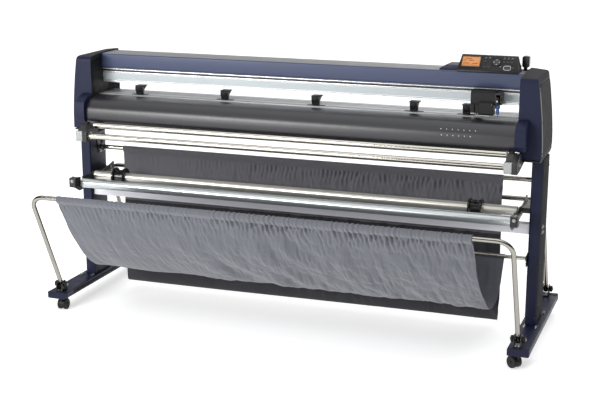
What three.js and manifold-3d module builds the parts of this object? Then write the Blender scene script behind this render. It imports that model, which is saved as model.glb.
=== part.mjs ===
// Wide-format roll vinyl cutter on a wheeled stand, with a catch basket in front and one behind.
// Units are millimetres. X runs along the machine to its control-panel end, Y to its back, Z up.
// Inside the machine group Y = 0 is the middle of the posts and Z = 0 is the floor. The group is
// moved along Y, so that the origin is the middle of the whole footprint on the floor.

import * as THREE from 'three';
import { mergeVertices } from 'three/addons/utils/BufferGeometryUtils.js';
import Module from 'manifold-3d';

const wasm = await Module();
wasm.setup();

// ---- driving dimensions -------------------------------------------------------------------

const GAP = 0.3; // clearance left between two pieces that touch
const SIDES = [['left', -1], ['right', 1]];
const ENDS = [['front', -1], ['rear', 1]];
const ROUND = 20; // facets of a large round section
const ROUND_SMALL = 12; // facets of a thin tube

const FOOT = { x: 1037, width: 86, length: 758, bottom: 63, height: 28, wall: 3, solidEnd: 79 };
const FOOT_SLOT = { height: 12, depth: 10 };
const FOOT_TOP = FOOT.bottom + FOOT.height;
const CASTER = { x: 1030, y: 347, wheelRadius: 25, wheelWidth: 15, gap: 12, trail: 16, stem: 5.5 };
const CASTER_YAW = { front_left: 4, front_right: 52, rear_left: 150, rear_right: 195 }; // degrees

const POST = { x: 1032.5, width: 49, depth: 148, wall: 2, top: 789.7 };
const POST_INNER = POST.x - POST.width / 2;
const CROSSBEAM = { y: -35, z: 495, depth: 40, height: 42, wall: 2 };

const BASKET = { armX: 1030, armLength: 502, tube: 9.5, bore: 7.8, bend: 62, tail: 12 };
const PIVOT = { y: 343, z: 123, pin: 4, cheekGap: 24, cheek: 4, length: 44 };
const FRONT_LEAN = 25.4; // degrees the front basket arms lean away from the machine
const REAR_LEAN = 25.4; // degrees the rear basket arms lean in over the machine
const FRONT_ROD = { y: -73, z: 375, radius: 8 };
const REAR_ROD = { y: 25, z: 685, radius: 9.5 };
const CLOTH = { thickness: 3, frontHalf: 902, rearHalf: 888 };

const STOCK = { half: 966, stub: 10, stubBore: 6, stubEnd: 976 };
const FRONT_PIPE = { y: -229, z: 570, radius: 21, bore: 18.5 };
const FEED_SHAFT = { y: -110, z: 582, radius: 20, bore: 17.5 };
const PIPE_BRACKET = { x: 968, thickness: 6, endBlock: 30 };
const FLANGE_X = [-838, 793];
const FLANGE = { radius: 41, hub: 30, halfWidth: 28, rim: 9 };

const UNIT_HALF = 956; // half length of the long parts of the cutter head
const GUIDE = { radius: 13, bore: 10.5, block: 32 };
const GUIDE_RODS = { upper: [-205, 831], lower: [-252, 791] };
const SIDE_FRAME = { thickness: 6, flangeBottom: 790, flange: 6, outer: 1050 };
const GUIDE_ARM = { left: -931, right: UNIT_HALF + SIDE_FRAME.thickness + 1, width: 22 };
const COVER = { front: -132, rear: 135, bottom: 800, wall: 3 };
const TOP_BEAM = { front: -29, rear: 108, bottom: 1063.3, top: 1128, wall: 2 };
const RAIL = { front: -25, rear: 60, bottom: 998, top: 1063, wall: 3 };
const PLATEN = { front: -66, rear: 85, top: 951, thickness: 4 };
const CHASSIS = { front: -140, rear: 110, bottom: 850, top: 922, wall: 2 };
const SKIN = 3; // thickness of the front and rear covers
const INLET = { x: 860, width: 50, bottom: 864, top: 896, front: 113, rear: 134 };

const ROLLER_X = [-766, -350, 72, 504, 727, 775];
const ROLLER = { width: 42, wheel: 7, wheelWidth: 22, y: -30, pivotY: -5, pivotZ: 985 };
const DRIVE = { shaft: 6, drum: 12, drumWidth: 30, rise: 0.4, end: 975, pulley: 12 };
const DRIVE_Z = PLATEN.top + DRIVE.rise - DRIVE.drum;

const CARRIAGE = { x: 805, half: 50, front: -115, top: 1068, bottom: 968, shellBottom: 1004 };
const TOOL = { x: 864, y: -92, bottom: 960, radius: 6 };

const PANEL = { x: 806, width: 250, topWidth: 228, front: -42, rear: 54, top: 1192, lip: 8 };
const PLINTH = { left: 604, front: -22, rear: 84, height: 20 };
const FACE_FOOT = [-40, TOP_BEAM.top + GAP + PANEL.lip]; // lower edge of the sloping key face
const FACE_HEAD = [6, PANEL.top];
const FACE_TILT = Math.atan2(FACE_HEAD[1] - FACE_FOOT[1], FACE_HEAD[0] - FACE_FOOT[0]);
const KEY_GAP = 0.5; // clearance round a key in its pocket
const DISPLAY = { x: -72, y: 3, width: 72, height: 44, thickness: 2 };
const ENTER_KEY = { x: 78, y: -21, width: 24, height: 14, travel: 1.5, thickness: 5 };
const ARROW_KEY = { x: 32, y: 4, width: 32, height: 32, travel: 1.5, thickness: 5 };
const LEVER = { x: 938, y: 90, z: 1098, boss: 12, neck: 16, knob: 32, knobBottom: 42, knobTop: 89 };

// ---- paints and materials -----------------------------------------------------------------

function material(color, roughness, metalness = 0) {
  return new THREE.MeshStandardMaterial({ color, roughness, metalness });
}

const NAVY = material('#2f3557', 0.45, 0.2);
const BLACK = material('#17181a', 0.5);
const RUBBER = material('#1c1c1d', 0.8);
const CHROME = material('#c9c7bd', 0.15, 1);
const ZINC = material('#b9bec0', 0.35, 0.9);
const ALUMINIUM = material('#c3c8cb', 0.35, 0.8);
const FABRIC_LIGHT = material('#76787f', 0.95);
const FABRIC_DARK = material('#565761', 0.95);
const LCD = material('#f09a4c', 0.3);
const BLUE = material('#2f63b5', 0.4);
const PALE = material('#c8cbd0', 0.4);

// ---- helpers ------------------------------------------------------------------------------

function toSolid(geometry) {
  const bare = geometry.clone();
  bare.deleteAttribute('normal');
  bare.deleteAttribute('uv');
  const merged = mergeVertices(bare, 1e-4);
  const vertProperties = Float32Array.from(merged.attributes.position.array);
  const triVerts = Uint32Array.from(merged.index.array);
  return new wasm.Manifold(new wasm.Mesh({ numProp: 3, vertProperties, triVerts }));
}

function toGeometry(solid) {
  const mesh = solid.getMesh();
  const geometry = new THREE.BufferGeometry();
  geometry.setAttribute('position', new THREE.BufferAttribute(mesh.vertProperties, 3));
  geometry.setIndex(new THREE.BufferAttribute(mesh.triVerts, 1));
  geometry.computeVertexNormals();
  return geometry;
}

function join(...geometries) {
  return toGeometry(geometries.map(toSolid).reduce((all, next) => all.add(next)));
}

function cut(body, ...tools) {
  return toGeometry(tools.map(toSolid).reduce((rest, tool) => rest.subtract(tool), toSolid(body)));
}

function common(first, second) {
  return toGeometry(toSolid(first).intersect(toSolid(second)));
}

/** A box between two limits on each axis. */
function box([x0, x1], [y0, y1], [z0, z1]) {
  const geometry = new THREE.BoxGeometry(x1 - x0, y1 - y0, z1 - z0);
  return geometry.translate((x0 + x1) / 2, (y0 + y1) / 2, (z0 + z1) / 2);
}

/** A shape from its corners, always anticlockwise, so that a hole in it turns the other way. */
function outline(points, hole) {
  const corners = points.map(([x, y]) => new THREE.Vector2(x, y));
  const shape = new THREE.Shape(
    THREE.ShapeUtils.isClockWise(corners) ? corners.reverse() : corners,
  );
  if (hole) {
    shape.holes.push(new THREE.Path(hole.map(([x, y]) => new THREE.Vector2(x, y))));
  }
  return shape;
}

function rectangle(x0, x1, y0, y1) {
  return [[x0, y0], [x1, y0], [x1, y1], [x0, y1]];
}

/** A rectangular frame outline whose walls are all equally thick. */
function frameOutline(x0, x1, y0, y1, wall) {
  return outline(
    rectangle(x0, x1, y0, y1),
    rectangle(x0 + wall, x1 - wall, y0 + wall, y1 - wall),
  );
}

/** A regular polygon with a flat facet facing each axis, and flats at the given radius. */
function polygon(radius, sides) {
  const corner = radius / Math.cos(Math.PI / sides);
  return Array.from({ length: sides }, (_, i) => {
    const angle = (2 * Math.PI * (i + 0.5)) / sides;
    return [corner * Math.cos(angle), corner * Math.sin(angle)];
  });
}

/** Extrudes a (y, z) outline along X, from x0 to x1. */
function alongX(shape, x0, x1) {
  const geometry = new THREE.ExtrudeGeometry(shape, { depth: x1 - x0, bevelEnabled: false });
  const toYZX = new THREE.Matrix4().makeBasis(
    new THREE.Vector3(0, 1, 0),
    new THREE.Vector3(0, 0, 1),
    new THREE.Vector3(1, 0, 0),
  );
  return geometry.applyMatrix4(toYZX).translate(x0, 0, 0);
}

/** Extrudes an (x, z) outline along Y, from y0 to y1. */
function alongY(shape, y0, y1) {
  const geometry = new THREE.ExtrudeGeometry(shape, { depth: y1 - y0, bevelEnabled: false });
  return geometry.rotateX(Math.PI / 2).translate(0, y1, 0);
}

/** Extrudes an (x, y) outline up Z, from z0 to z1. */
function alongZ(shape, z0, z1) {
  const geometry = new THREE.ExtrudeGeometry(shape, { depth: z1 - z0, bevelEnabled: false });
  return geometry.translate(0, 0, z0);
}

/** A round bar along X, centred on (y, z). */
function barX(radius, x0, x1, y = 0, z = 0, sides = ROUND_SMALL) {
  return alongX(outline(polygon(radius, sides)), x0, x1).translate(0, y, z);
}

function barZ(radius, z0, z1, sides = ROUND_SMALL) {
  return alongZ(outline(polygon(radius, sides)), z0, z1);
}

/** Revolves a closed (radius, x) profile about the X axis. */
function latheX(profile, sides = ROUND) {
  const points = [...profile, profile[0]].map(([r, x]) => new THREE.Vector2(r, x));
  const geometry = new THREE.LatheGeometry(points, sides, Math.PI / sides);
  return geometry.rotateZ(-Math.PI / 2);
}

/** Mirrors a geometry to the other end of the machine and keeps its faces pointing out. */
function mirrored(geometry) {
  const solid = toSolid(geometry).mirror([1, 0, 0]);
  return toGeometry(solid);
}

function onSide(geometry, side) {
  return side < 0 ? mirrored(geometry) : geometry;
}

/** A sheet of even thickness along a smooth (y, z) curve, as a closed outline. */
function sheetOutline(points, thickness, steps) {
  const curve = new THREE.SplineCurve(points.map(([y, z]) => new THREE.Vector2(y, z)));
  const inner = [];
  const outer = [];
  for (let i = 0; i <= steps; i += 1) {
    const at = curve.getPointAt(i / steps);
    const along = curve.getTangentAt(i / steps);
    const reach = thickness / 2;
    outer.push([at.x - along.y * reach, at.y + along.x * reach]);
    inner.unshift([at.x + along.y * reach, at.y - along.x * reach]);
  }
  return outline([...outer, ...inner]);
}

function part(name, geometry, paint, position = [0, 0, 0]) {
  const mesh = new THREE.Mesh(geometry, paint);
  mesh.name = name;
  mesh.position.set(...position);
  return mesh;
}

// ---- stand --------------------------------------------------------------------------------

/** A foot is a channel, open below, slotted along its inner side, with solid ends for casters. */
function footGeometry() {
  const halfLength = FOOT.length / 2;
  const halfWidth = FOOT.width / 2;
  const hollowHalf = halfLength - FOOT.solidEnd;
  const body = box([-halfWidth, halfWidth], [-halfLength, halfLength], [0, FOOT.height]);
  const hollow = box(
    [-halfWidth + FOOT.wall, halfWidth - FOOT.wall],
    [-hollowHalf, hollowHalf],
    [-1, FOOT.height - FOOT.wall],
  );
  const slotBottom = (FOOT.height - FOOT_SLOT.height) / 2;
  const slot = box(
    [-halfWidth - 1, -halfWidth + FOOT_SLOT.depth],
    [-hollowHalf, hollowHalf],
    [slotBottom, slotBottom + FOOT_SLOT.height],
  );
  const socket = barZ(CASTER.stem + GAP, -1, FOOT.height - FOOT.wall * 2);
  const sockets = ENDS.map(([, end]) =>
    socket.clone().translate(CASTER.x - FOOT.x, end * CASTER.y, 0));
  return cut(body, hollow, slot, ...sockets);
}

function stand() {
  const group = new THREE.Group();
  const foot = footGeometry();
  const halfPost = POST.width / 2;
  const section = frameOutline(-halfPost, halfPost, -POST.depth / 2, POST.depth / 2, POST.wall);
  const post = alongZ(section, FOOT_TOP + GAP, POST.top);
  for (const [name, side] of SIDES) {
    const x = side * FOOT.x;
    group.add(part(`foot_${name}`, onSide(foot, side), NAVY, [x, 0, FOOT.bottom]));
    group.add(part(`post_${name}`, post, NAVY, [side * POST.x, 0, 0]));
  }
  const half = CROSSBEAM.height / 2;
  const depth = CROSSBEAM.depth / 2;
  const beamSection = frameOutline(-depth, depth, -half, half, CROSSBEAM.wall);
  const reach = POST_INNER - GAP;
  const beam = alongX(beamSection, -reach, reach);
  group.add(part('crossbeam', beam, ALUMINIUM, [0, CROSSBEAM.y, CROSSBEAM.z]));
  return group;
}

// ---- casters ------------------------------------------------------------------------------

/** Fork of a twin-wheel caster: a stem, a round flange and a web that hangs between the wheels. */
function forkGeometry() {
  const drop = FOOT.bottom - GAP;
  const axle = CASTER.wheelRadius;
  const web = outline([
    [-14, drop - 3],
    [CASTER.trail - 8, axle - 8],
    [CASTER.trail + 8, axle - 8],
    [CASTER.trail + 9, axle + 10],
    [14, drop - 3],
  ]);
  const webHalf = CASTER.gap / 2 - 1;
  return cut(
    join(
      barZ(CASTER.stem, drop - 4, drop + FOOT.height - FOOT.wall * 2 - 2),
      barZ(15, drop - 4, drop),
      alongX(web, -webHalf, webHalf),
    ),
    barX(5 + GAP, -CASTER.gap, CASTER.gap, CASTER.trail, axle),
  );
}

/** Two wheels on one hub. Their rims have flats, one of which stands on the floor. */
function twinWheelGeometry() {
  const inner = CASTER.gap / 2;
  const outer = inner + CASTER.wheelWidth;
  const rim = CASTER.wheelRadius / Math.cos(Math.PI / ROUND);
  const hub = 5;
  const edge = 2;
  const profile = [
    [0, -outer], [rim - edge, -outer], [rim, -outer + edge], [rim, -inner], [hub, -inner],
    [hub, inner], [rim, inner], [rim, outer - edge], [rim - edge, outer], [0, outer],
  ];
  const points = profile.map(([r, x]) => new THREE.Vector2(r, x));
  const geometry = new THREE.LatheGeometry(points, ROUND, Math.PI / ROUND);
  return geometry.rotateZ(-Math.PI / 2);
}

function casters() {
  const group = new THREE.Group();
  const fork = forkGeometry();
  const wheel = twinWheelGeometry();
  for (const [endName, end] of ENDS) {
    for (const [sideName, side] of SIDES) {
      const where = `${endName}_${sideName}`;
      const caster = new THREE.Group();
      caster.position.set(side * CASTER.x, end * CASTER.y, 0);
      caster.rotation.z = THREE.MathUtils.degToRad(CASTER_YAW[where]);
      caster.add(part(`caster_fork_${where}`, fork, BLACK));
      const axle = [0, CASTER.trail, CASTER.wheelRadius];
      caster.add(part(`caster_wheel_${where}`, wheel, RUBBER, axle));
      group.add(caster);
    }
  }
  return group;
}

// ---- baskets ------------------------------------------------------------------------------

/** A curve through chosen stations, so that long straight runs take only one step. */
class StationCurve extends THREE.Curve {
  constructor(stations) {
    super();
    this.stations = stations;
  }

  getPointAt(u) {
    return this.stations[Math.round(u * (this.stations.length - 1))].clone();
  }

  getTangentAt(u) {
    const last = this.stations.length - 1;
    const i = Math.round(u * last);
    const from = this.stations[Math.max(i - 1, 0)];
    const to = this.stations[Math.min(i + 1, last)];
    const back = this.stations[i].clone().sub(from).normalize();
    const ahead = to.clone().sub(this.stations[i]).normalize();
    return back.add(ahead).normalize();
  }
}

/** A U-shaped tube: two arms and the rod across their tops, in the XZ plane of its pivots. */
function basketFrameGeometry() {
  const { armX, armLength, bend, tail } = BASKET;
  const bendSteps = 6;
  const stations = [new THREE.Vector3(-armX, 0, -tail)];
  for (let i = 0; i <= bendSteps; i += 1) {
    const angle = Math.PI - (i / bendSteps) * (Math.PI / 2);
    const x = -armX + bend + bend * Math.cos(angle);
    stations.push(new THREE.Vector3(x, 0, armLength - bend + bend * Math.sin(angle)));
  }
  const otherHalf = stations.map((p) => new THREE.Vector3(-p.x, p.y, p.z)).reverse();
  const path = new StationCurve([...stations, ...otherHalf]);
  const section = outline(
    polygon(BASKET.tube, ROUND_SMALL),
    polygon(BASKET.bore, ROUND_SMALL).reverse(),
  );
  const steps = path.stations.length - 1;
  const tube = new THREE.ExtrudeGeometry(section, { steps, extrudePath: path });
  const pinHalf = PIVOT.cheekGap / 2 + PIVOT.cheek;
  const pins = [-armX, armX].map((x) => barX(PIVOT.pin, x - pinHalf, x + pinHalf));
  return join(tube, ...pins);
}

/** Clevis on a foot that carries one basket arm's pin between two cheeks. */
function basketBracketGeometry() {
  const inner = PIVOT.cheekGap / 2;
  const outer = inner + PIVOT.cheek;
  const half = PIVOT.length / 2;
  const base = FOOT_TOP + GAP - PIVOT.z;
  const top = 18;
  const body = box([-outer, outer], [-half, half], [base, top]);
  const slot = box([-inner, inner], [-half - 1, half + 1], [base + 4, top + 1]);
  const shoulders = ENDS.map(([, end]) => {
    const edge = [end * (half - 12), end * (half + 1)].sort((a, b) => a - b);
    return box([-outer - 1, outer + 1], edge, [4, top + 1]);
  });
  return cut(body, slot, barX(PIVOT.pin + GAP, -outer - 1, outer + 1), ...shoulders);
}

/** A fixed rod between the posts with a bracket plate welded on at each end. */
function fixedRodGeometry(radius, plateOutline) {
  const outer = POST_INNER - GAP;
  const inner = outer - 3;
  const plates = [[-outer, -inner], [inner, outer]].map(([x0, x1]) =>
    alongX(outline(plateOutline), x0, x1));
  return join(barX(radius, -inner - 1, inner + 1), ...plates);
}

function leaningRod(pivotY, lean) {
  const angle = THREE.MathUtils.degToRad(lean);
  return [
    pivotY - BASKET.armLength * Math.sin(angle),
    PIVOT.z + BASKET.armLength * Math.cos(angle),
  ];
}

/** Front cloth: from its rod on the posts down, forward and up to the front basket frame. */
function frontClothGeometry() {
  const [rodY, rodZ] = leaningRod(-PIVOT.y, FRONT_LEAN);
  const hang = [
    [FRONT_ROD.y, FRONT_ROD.z - FRONT_ROD.radius - 2],
    [-86, 300], [-128, 228], [-205, 201], [-292, 224], [-398, 305], [-478, 404], [-535, 520],
    [rodY + 4, rodZ - BASKET.tube - 4],
  ];
  const section = sheetOutline(hang, CLOTH.thickness, 22);
  return alongX(section, -CLOTH.frontHalf, CLOTH.frontHalf);
}

/** Rear cloth: a deep narrow loop from its rod near the posts to the rear basket frame. */
function rearClothGeometry() {
  const [rodY, rodZ] = leaningRod(PIVOT.y, REAR_LEAN);
  const hang = [
    [REAR_ROD.y, REAR_ROD.z - REAR_ROD.radius - 2],
    [22, 540], [18, 380], [15, 220], [18, 120], [36, 76], [78, 67], [124, 92], [146, 190], [152, 390],
    [rodY, rodZ - BASKET.tube - 3],
  ];
  const section = sheetOutline(hang, CLOTH.thickness, 24);
  return alongX(section, -CLOTH.rearHalf, CLOTH.rearHalf);
}

function baskets() {
  const group = new THREE.Group();
  const bracket = basketBracketGeometry();
  const frame = basketFrameGeometry();
  const leans = { front: FRONT_LEAN, rear: REAR_LEAN };
  for (const [endName, end] of ENDS) {
    for (const [sideName, side] of SIDES) {
      const at = [side * BASKET.armX, end * PIVOT.y, PIVOT.z];
      group.add(part(`basket_bracket_${endName}_${sideName}`, bracket, BLACK, at));
    }
    const mesh = part(`${endName}_basket_frame`, frame, CHROME, [0, end * PIVOT.y, PIVOT.z]);
    mesh.rotation.x = THREE.MathUtils.degToRad(leans[endName]);
    group.add(mesh);
  }
  const saddle = [[-14, -34], [56, -34], [56, 6], [16, 22], [-14, 14]];
  const frontRod = fixedRodGeometry(FRONT_ROD.radius, saddle);
  group.add(part('front_basket_rod', frontRod, CHROME, [0, FRONT_ROD.y, FRONT_ROD.z]));
  const yoke = [[-24, -26], [28, -26], [44, 52], [24, 52], [8, 16], [-8, 16], [-24, 52], [-44, 52]];
  const rearRod = fixedRodGeometry(REAR_ROD.radius, yoke);
  group.add(part('rear_basket_rod', rearRod, CHROME, [0, REAR_ROD.y, REAR_ROD.z]));
  group.add(part('front_basket_cloth', frontClothGeometry(), FABRIC_LIGHT));
  group.add(part('rear_basket_cloth', rearClothGeometry(), FABRIC_DARK));
  return group;
}

// ---- roll stock holders -------------------------------------------------------------------

/** A tube with a narrower bored stub at each end, which lies in the pipe brackets. */
function pipeGeometry(radius, bore) {
  const { half, stub, stubBore, stubEnd } = STOCK;
  const plug = half - 5;
  const rightEnd = [[radius, half], [stub, half], [stub, stubEnd], [stubBore, stubEnd],
    [stubBore, plug], [bore, plug]];
  const leftEnd = rightEnd.map(([r, x]) => [r, -x]).reverse();
  return latheX([...rightEnd, ...leftEnd]);
}

/** Bracket plate with an open cradle for each pipe, a block in front and a fin at its rear. */
function pipeBracketGeometry() {
  const front = -290;
  const plate = outline([
    [73, 560], [73, 609], [40, 601], [-10, 591], [-60, 588], [-90, 596], [-150, 594],
    [-250, 600], [front, 602], [front, 560], [-250, 538], [-75, 548],
  ]);
  const inner = PIPE_BRACKET.x;
  const outer = inner + PIPE_BRACKET.thickness;
  const cradles = [FRONT_PIPE, FEED_SHAFT].flatMap(({ y, z }) => {
    const reach = STOCK.stub + 2 * GAP;
    return [
      barX(reach, inner - 1, outer + 1, y, z),
      box([inner - 1, outer + 1], [y - reach, y + reach], [z, z + 60]),
    ];
  });
  const foot = box([outer - 1, POST_INNER - GAP], [-66, 66], [564, 586]);
  const block = box([inner, inner + PIPE_BRACKET.endBlock], [front, -258], [560, 602]);
  return join(cut(alongX(plate, inner, outer), ...cradles), foot, block);
}

/** Spool that locks on the feed shaft against a roll's core: a hub between two rims. */
function flangeGeometry() {
  const bore = FEED_SHAFT.radius + GAP + 0.4;
  const { radius, hub, halfWidth, rim } = FLANGE;
  const inner = halfWidth - rim;
  return latheX([
    [bore, -halfWidth], [radius, -halfWidth], [radius, -inner], [hub, -inner],
    [hub, inner], [radius, inner], [radius, halfWidth], [bore, halfWidth],
  ]);
}

function stockHolders() {
  const group = new THREE.Group();
  const bracket = pipeBracketGeometry();
  const frontPipe = pipeGeometry(FRONT_PIPE.radius, FRONT_PIPE.bore);
  const feedShaft = pipeGeometry(FEED_SHAFT.radius, FEED_SHAFT.bore);
  const flange = flangeGeometry();
  group.add(part('front_pipe', frontPipe, ZINC, [0, FRONT_PIPE.y, FRONT_PIPE.z]));
  group.add(part('feed_shaft', feedShaft, ZINC, [0, FEED_SHAFT.y, FEED_SHAFT.z]));
  SIDES.forEach(([name, side], i) => {
    group.add(part(`pipe_bracket_${name}`, onSide(bracket, side), BLACK));
    const at = [FLANGE_X[i], FEED_SHAFT.y, FEED_SHAFT.z];
    group.add(part(`flange_${name}`, flange, BLACK, at));
  });
  return group;
}

// ---- cutter head: frame, covers and media path --------------------------------------------

/** Body of a side cover. A positive inset gives the hollow, open inwards and below. */
function coverBody(inset) {
  const open = inset > 0 ? 10 : 0;
  const inner = UNIT_HALF + GAP - open;
  const bottom = COVER.bottom - open;
  const frontView = outline([
    [inner, bottom], [1053 - inset, bottom], [1052 - inset, 870], [1047 - inset, 950],
    [1038 - inset, 1040], [1028 - inset, 1122 - inset], [inner, 1137 - inset],
  ]);
  const front = COVER.front + inset;
  const rear = COVER.rear - inset;
  const sideView = outline([
    [front, bottom], [rear, bottom], [rear, 1134 - inset], [40, 1134 - inset],
    [-50, 1132 - inset], [-104, 1127 - inset], [front + 6, 1116 - inset], [front, 1096],
  ]);
  return common(alongY(frontView, -150, 150), alongX(sideView, 900, 1100));
}

/** Outer shell at the right end, with the faceted nose that closes the front cover's end. */
function sideCoverGeometry() {
  const shell = cut(coverBody(0), coverBody(COVER.wall));
  const nose = outline([[-131, 962], [-206, 932], [-206, 850], [-196, 840], [-131, 840]]);
  return join(shell, alongX(nose, UNIT_HALF + GAP, 1000));
}

/** Side plate with a flange that stands on the post. */
function sidePlateGeometry() {
  const plateInner = UNIT_HALF + GAP;
  const plateOuter = plateInner + SIDE_FRAME.thickness;
  const inset = COVER.wall + 1;
  const front = COVER.front + inset;
  const rear = COVER.rear - inset;
  const bottom = SIDE_FRAME.flangeBottom;
  const plate = outline([
    [front, bottom], [rear, bottom], [rear, 1128], [40, 1128], [-50, 1126], [front, 1090],
  ]);
  const flangeTop = bottom + SIDE_FRAME.flange;
  const flange = box([plateInner, SIDE_FRAME.outer], [front, rear], [bottom, flangeTop]);
  const bearing = barX(DRIVE.shaft + GAP, plateInner - 1, plateOuter + 1, ROLLER.y, DRIVE_Z);
  return cut(join(alongX(plate, plateInner, plateOuter), flange), bearing);
}

/** Side frame: the plate with an arm for the guide rods, which is further in at the left. */
function sideFrameGeometry(name, side) {
  const bottom = SIDE_FRAME.flangeBottom;
  const top = bottom + SIDE_FRAME.flange;
  const inner = GUIDE_ARM[name];
  const outer = inner + GUIDE_ARM.width;
  const arm = outline([
    [-110, bottom], [-236, 768], [-278, 768], [-278, 812], [-222, 838], [-186, 838],
    [-170, top], [-110, top],
  ]);
  const pieces = [onSide(sidePlateGeometry(), side), alongX(arm, inner, outer)];
  if (side < 0) {
    pieces.push(box([-UNIT_HALF - 2, outer], [-127, -111], [bottom, top]));
  }
  return join(...pieces);
}

/** Block that holds both guide rods' ends and bolts to the side frame's arm. */
function guideEndGeometry() {
  const [upperY, upperZ] = GUIDE_RODS.upper;
  const [lowerY, lowerZ] = GUIDE_RODS.lower;
  const block = outline([
    [lowerY - 23, lowerZ - 23], [lowerY + 23, lowerZ - 23], [upperY + 16, upperZ - 18],
    [upperY + 16, upperZ + 7], [upperY - 18, upperZ + 7], [lowerY - 23, lowerZ + 23],
  ]);
  return alongX(block, -GUIDE.block, 0);
}

function guideRodGeometry() {
  const ring = outline(polygon(GUIDE.radius, ROUND), polygon(GUIDE.bore, ROUND));
  const leftEnd = GUIDE_ARM.left + GUIDE_ARM.width + GAP;
  return alongX(ring, leftEnd, GUIDE_ARM.right - GUIDE.block - 2 * GAP);
}

function topBeamGeometry() {
  const { front, rear, bottom, top, wall } = TOP_BEAM;
  const tube = alongX(frameOutline(front, rear, bottom, top, wall), -UNIT_HALF, UNIT_HALF);
  const halfSlot = LEVER.neck / 2 + 3;
  const slot = box([LEVER.x - halfSlot, LEVER.x + halfSlot], [56, 104], [top - 10, top + 1]);
  return cut(tube, slot);
}

/** Carriage rail: a hollow extrusion with two bright ridges and a lower lip on its front. */
function railGeometry() {
  const { front, rear, bottom, top, wall } = RAIL;
  const face = [
    [front + 4, bottom], [front + 4, bottom + 3], [front, bottom + 3], [front, bottom + 9],
    [front + 5, bottom + 11], [front + 5, bottom + 44], [front, bottom + 46],
    [front, bottom + 52], [front + 4, bottom + 53], [front + 4, bottom + 58],
    [front, bottom + 59], [front, top],
  ];
  const solid = alongX(outline([[rear, bottom], ...face, [rear, top]]), -UNIT_HALF, UNIT_HALF);
  const hollow = box(
    [-UNIT_HALF - 1, UNIT_HALF + 1],
    [front + 5 + wall, rear - wall],
    [bottom + wall, top - wall],
  );
  return cut(solid, hollow);
}

/** Flat bed with a turned-down lip on each side and a slot for each drive drum. */
function platenGeometry() {
  const { front, rear, top, thickness } = PLATEN;
  const lip = 10;
  const under = top - thickness;
  const section = outline([
    [front, top - lip], [front + 2, top - lip], [front + 2, under], [rear - 2, under],
    [rear - 2, top - lip], [rear, top - lip], [rear, top], [front, top],
  ]);
  const bed = alongX(section, -UNIT_HALF, UNIT_HALF);
  const halfSlot = DRIVE.drumWidth / 2 + 2;
  const slots = ROLLER_X.map((x) =>
    box([x - halfSlot, x + halfSlot], [ROLLER.y - 11, ROLLER.y + 11], [under - 1, top + 1]));
  return cut(bed, ...slots);
}

function chassisGeometry() {
  const { front, rear, bottom, top, wall } = CHASSIS;
  return alongX(frameOutline(front, rear, bottom, top, wall), -UNIT_HALF, UNIT_HALF);
}

function frontCoverGeometry() {
  const curve = [[PLATEN.front - 2, 947], [-112, 946], [-151, 936], [-179, 909], [-187, 878],
    [-184, 850], [-172, 836]];
  return alongX(sheetOutline(curve, SKIN, 14), -UNIT_HALF, UNIT_HALF);
}

function rearCoverGeometry() {
  const curve = [[PLATEN.rear + 2, 947], [110, 943], [125, 926], [131, 895], [131, 862], [122, 838]];
  const skin = alongX(sheetOutline(curve, SKIN, 12), -UNIT_HALF, UNIT_HALF);
  const half = INLET.width / 2 + GAP;
  const window = box(
    [INLET.x - half, INLET.x + half],
    [INLET.front, INLET.rear + 10],
    [INLET.bottom - GAP, INLET.top + GAP],
  );
  return cut(skin, window);
}

/** Mains inlet block with its socket recess facing backwards. */
function powerInletGeometry() {
  const half = INLET.width / 2;
  const body = box([-half, half], [INLET.front, INLET.rear], [INLET.bottom, INLET.top]);
  const recess = box([-13, 13], [INLET.rear - 14, INLET.rear + 1], [INLET.bottom + 7, INLET.top - 7]);
  return cut(body, recess);
}

function motorGeometry(length) {
  return join(
    barX(27, 0, length, 0, 0, ROUND_SMALL),
    box([length - 1, length + 6], [-14, 14], [-14, 14]),
  );
}

function headFrame() {
  const group = new THREE.Group();
  const cover = sideCoverGeometry();
  const guideEnd = guideEndGeometry();
  for (const [name, side] of SIDES) {
    group.add(part(`side_frame_${name}`, sideFrameGeometry(name, side), BLACK));
    group.add(part(`side_cover_${name}`, onSide(cover, side), NAVY));
    group.add(part(`guide_end_${name}`, guideEnd, PALE, [GUIDE_ARM[name] - GAP, 0, 0]));
  }
  const rod = guideRodGeometry();
  for (const [name, [y, z]] of Object.entries(GUIDE_RODS)) {
    group.add(part(`guide_rod_${name}`, rod, CHROME, [0, y, z]));
  }
  group.add(part('top_beam', topBeamGeometry(), NAVY));
  group.add(part('rail', railGeometry(), ALUMINIUM));
  group.add(part('platen', platenGeometry(), ALUMINIUM));
  group.add(part('chassis', chassisGeometry(), ALUMINIUM));
  group.add(part('front_cover', frontCoverGeometry(), BLACK));
  group.add(part('rear_cover', rearCoverGeometry(), BLACK));
  group.add(part('power_inlet', powerInletGeometry(), BLACK, [INLET.x, 0, 0]));
  const motorX = UNIT_HALF + SIDE_FRAME.thickness + 2 * GAP;
  group.add(part('feed_motor', motorGeometry(44), BLACK, [motorX, 50, 860]));
  group.add(part('carriage_motor', onSide(motorGeometry(40), -1), BLACK, [-motorX, 20, 1030]));
  return group;
}

// ---- cutter head: drive, rollers and carriage ---------------------------------------------

/** Media drive shaft with a gritted drum under each push roller and a pulley at its end. */
function driveShaftGeometry() {
  const pieces = [barX(DRIVE.shaft, -DRIVE.end, DRIVE.end)];
  const half = DRIVE.drumWidth / 2;
  for (const x of ROLLER_X) {
    pieces.push(barX(DRIVE.drum, x - half, x + half, 0, 0, ROUND));
  }
  pieces.push(barX(DRIVE.pulley, DRIVE.end - 8, DRIVE.end, 0, 0, ROUND));
  return join(...pieces);
}

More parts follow.
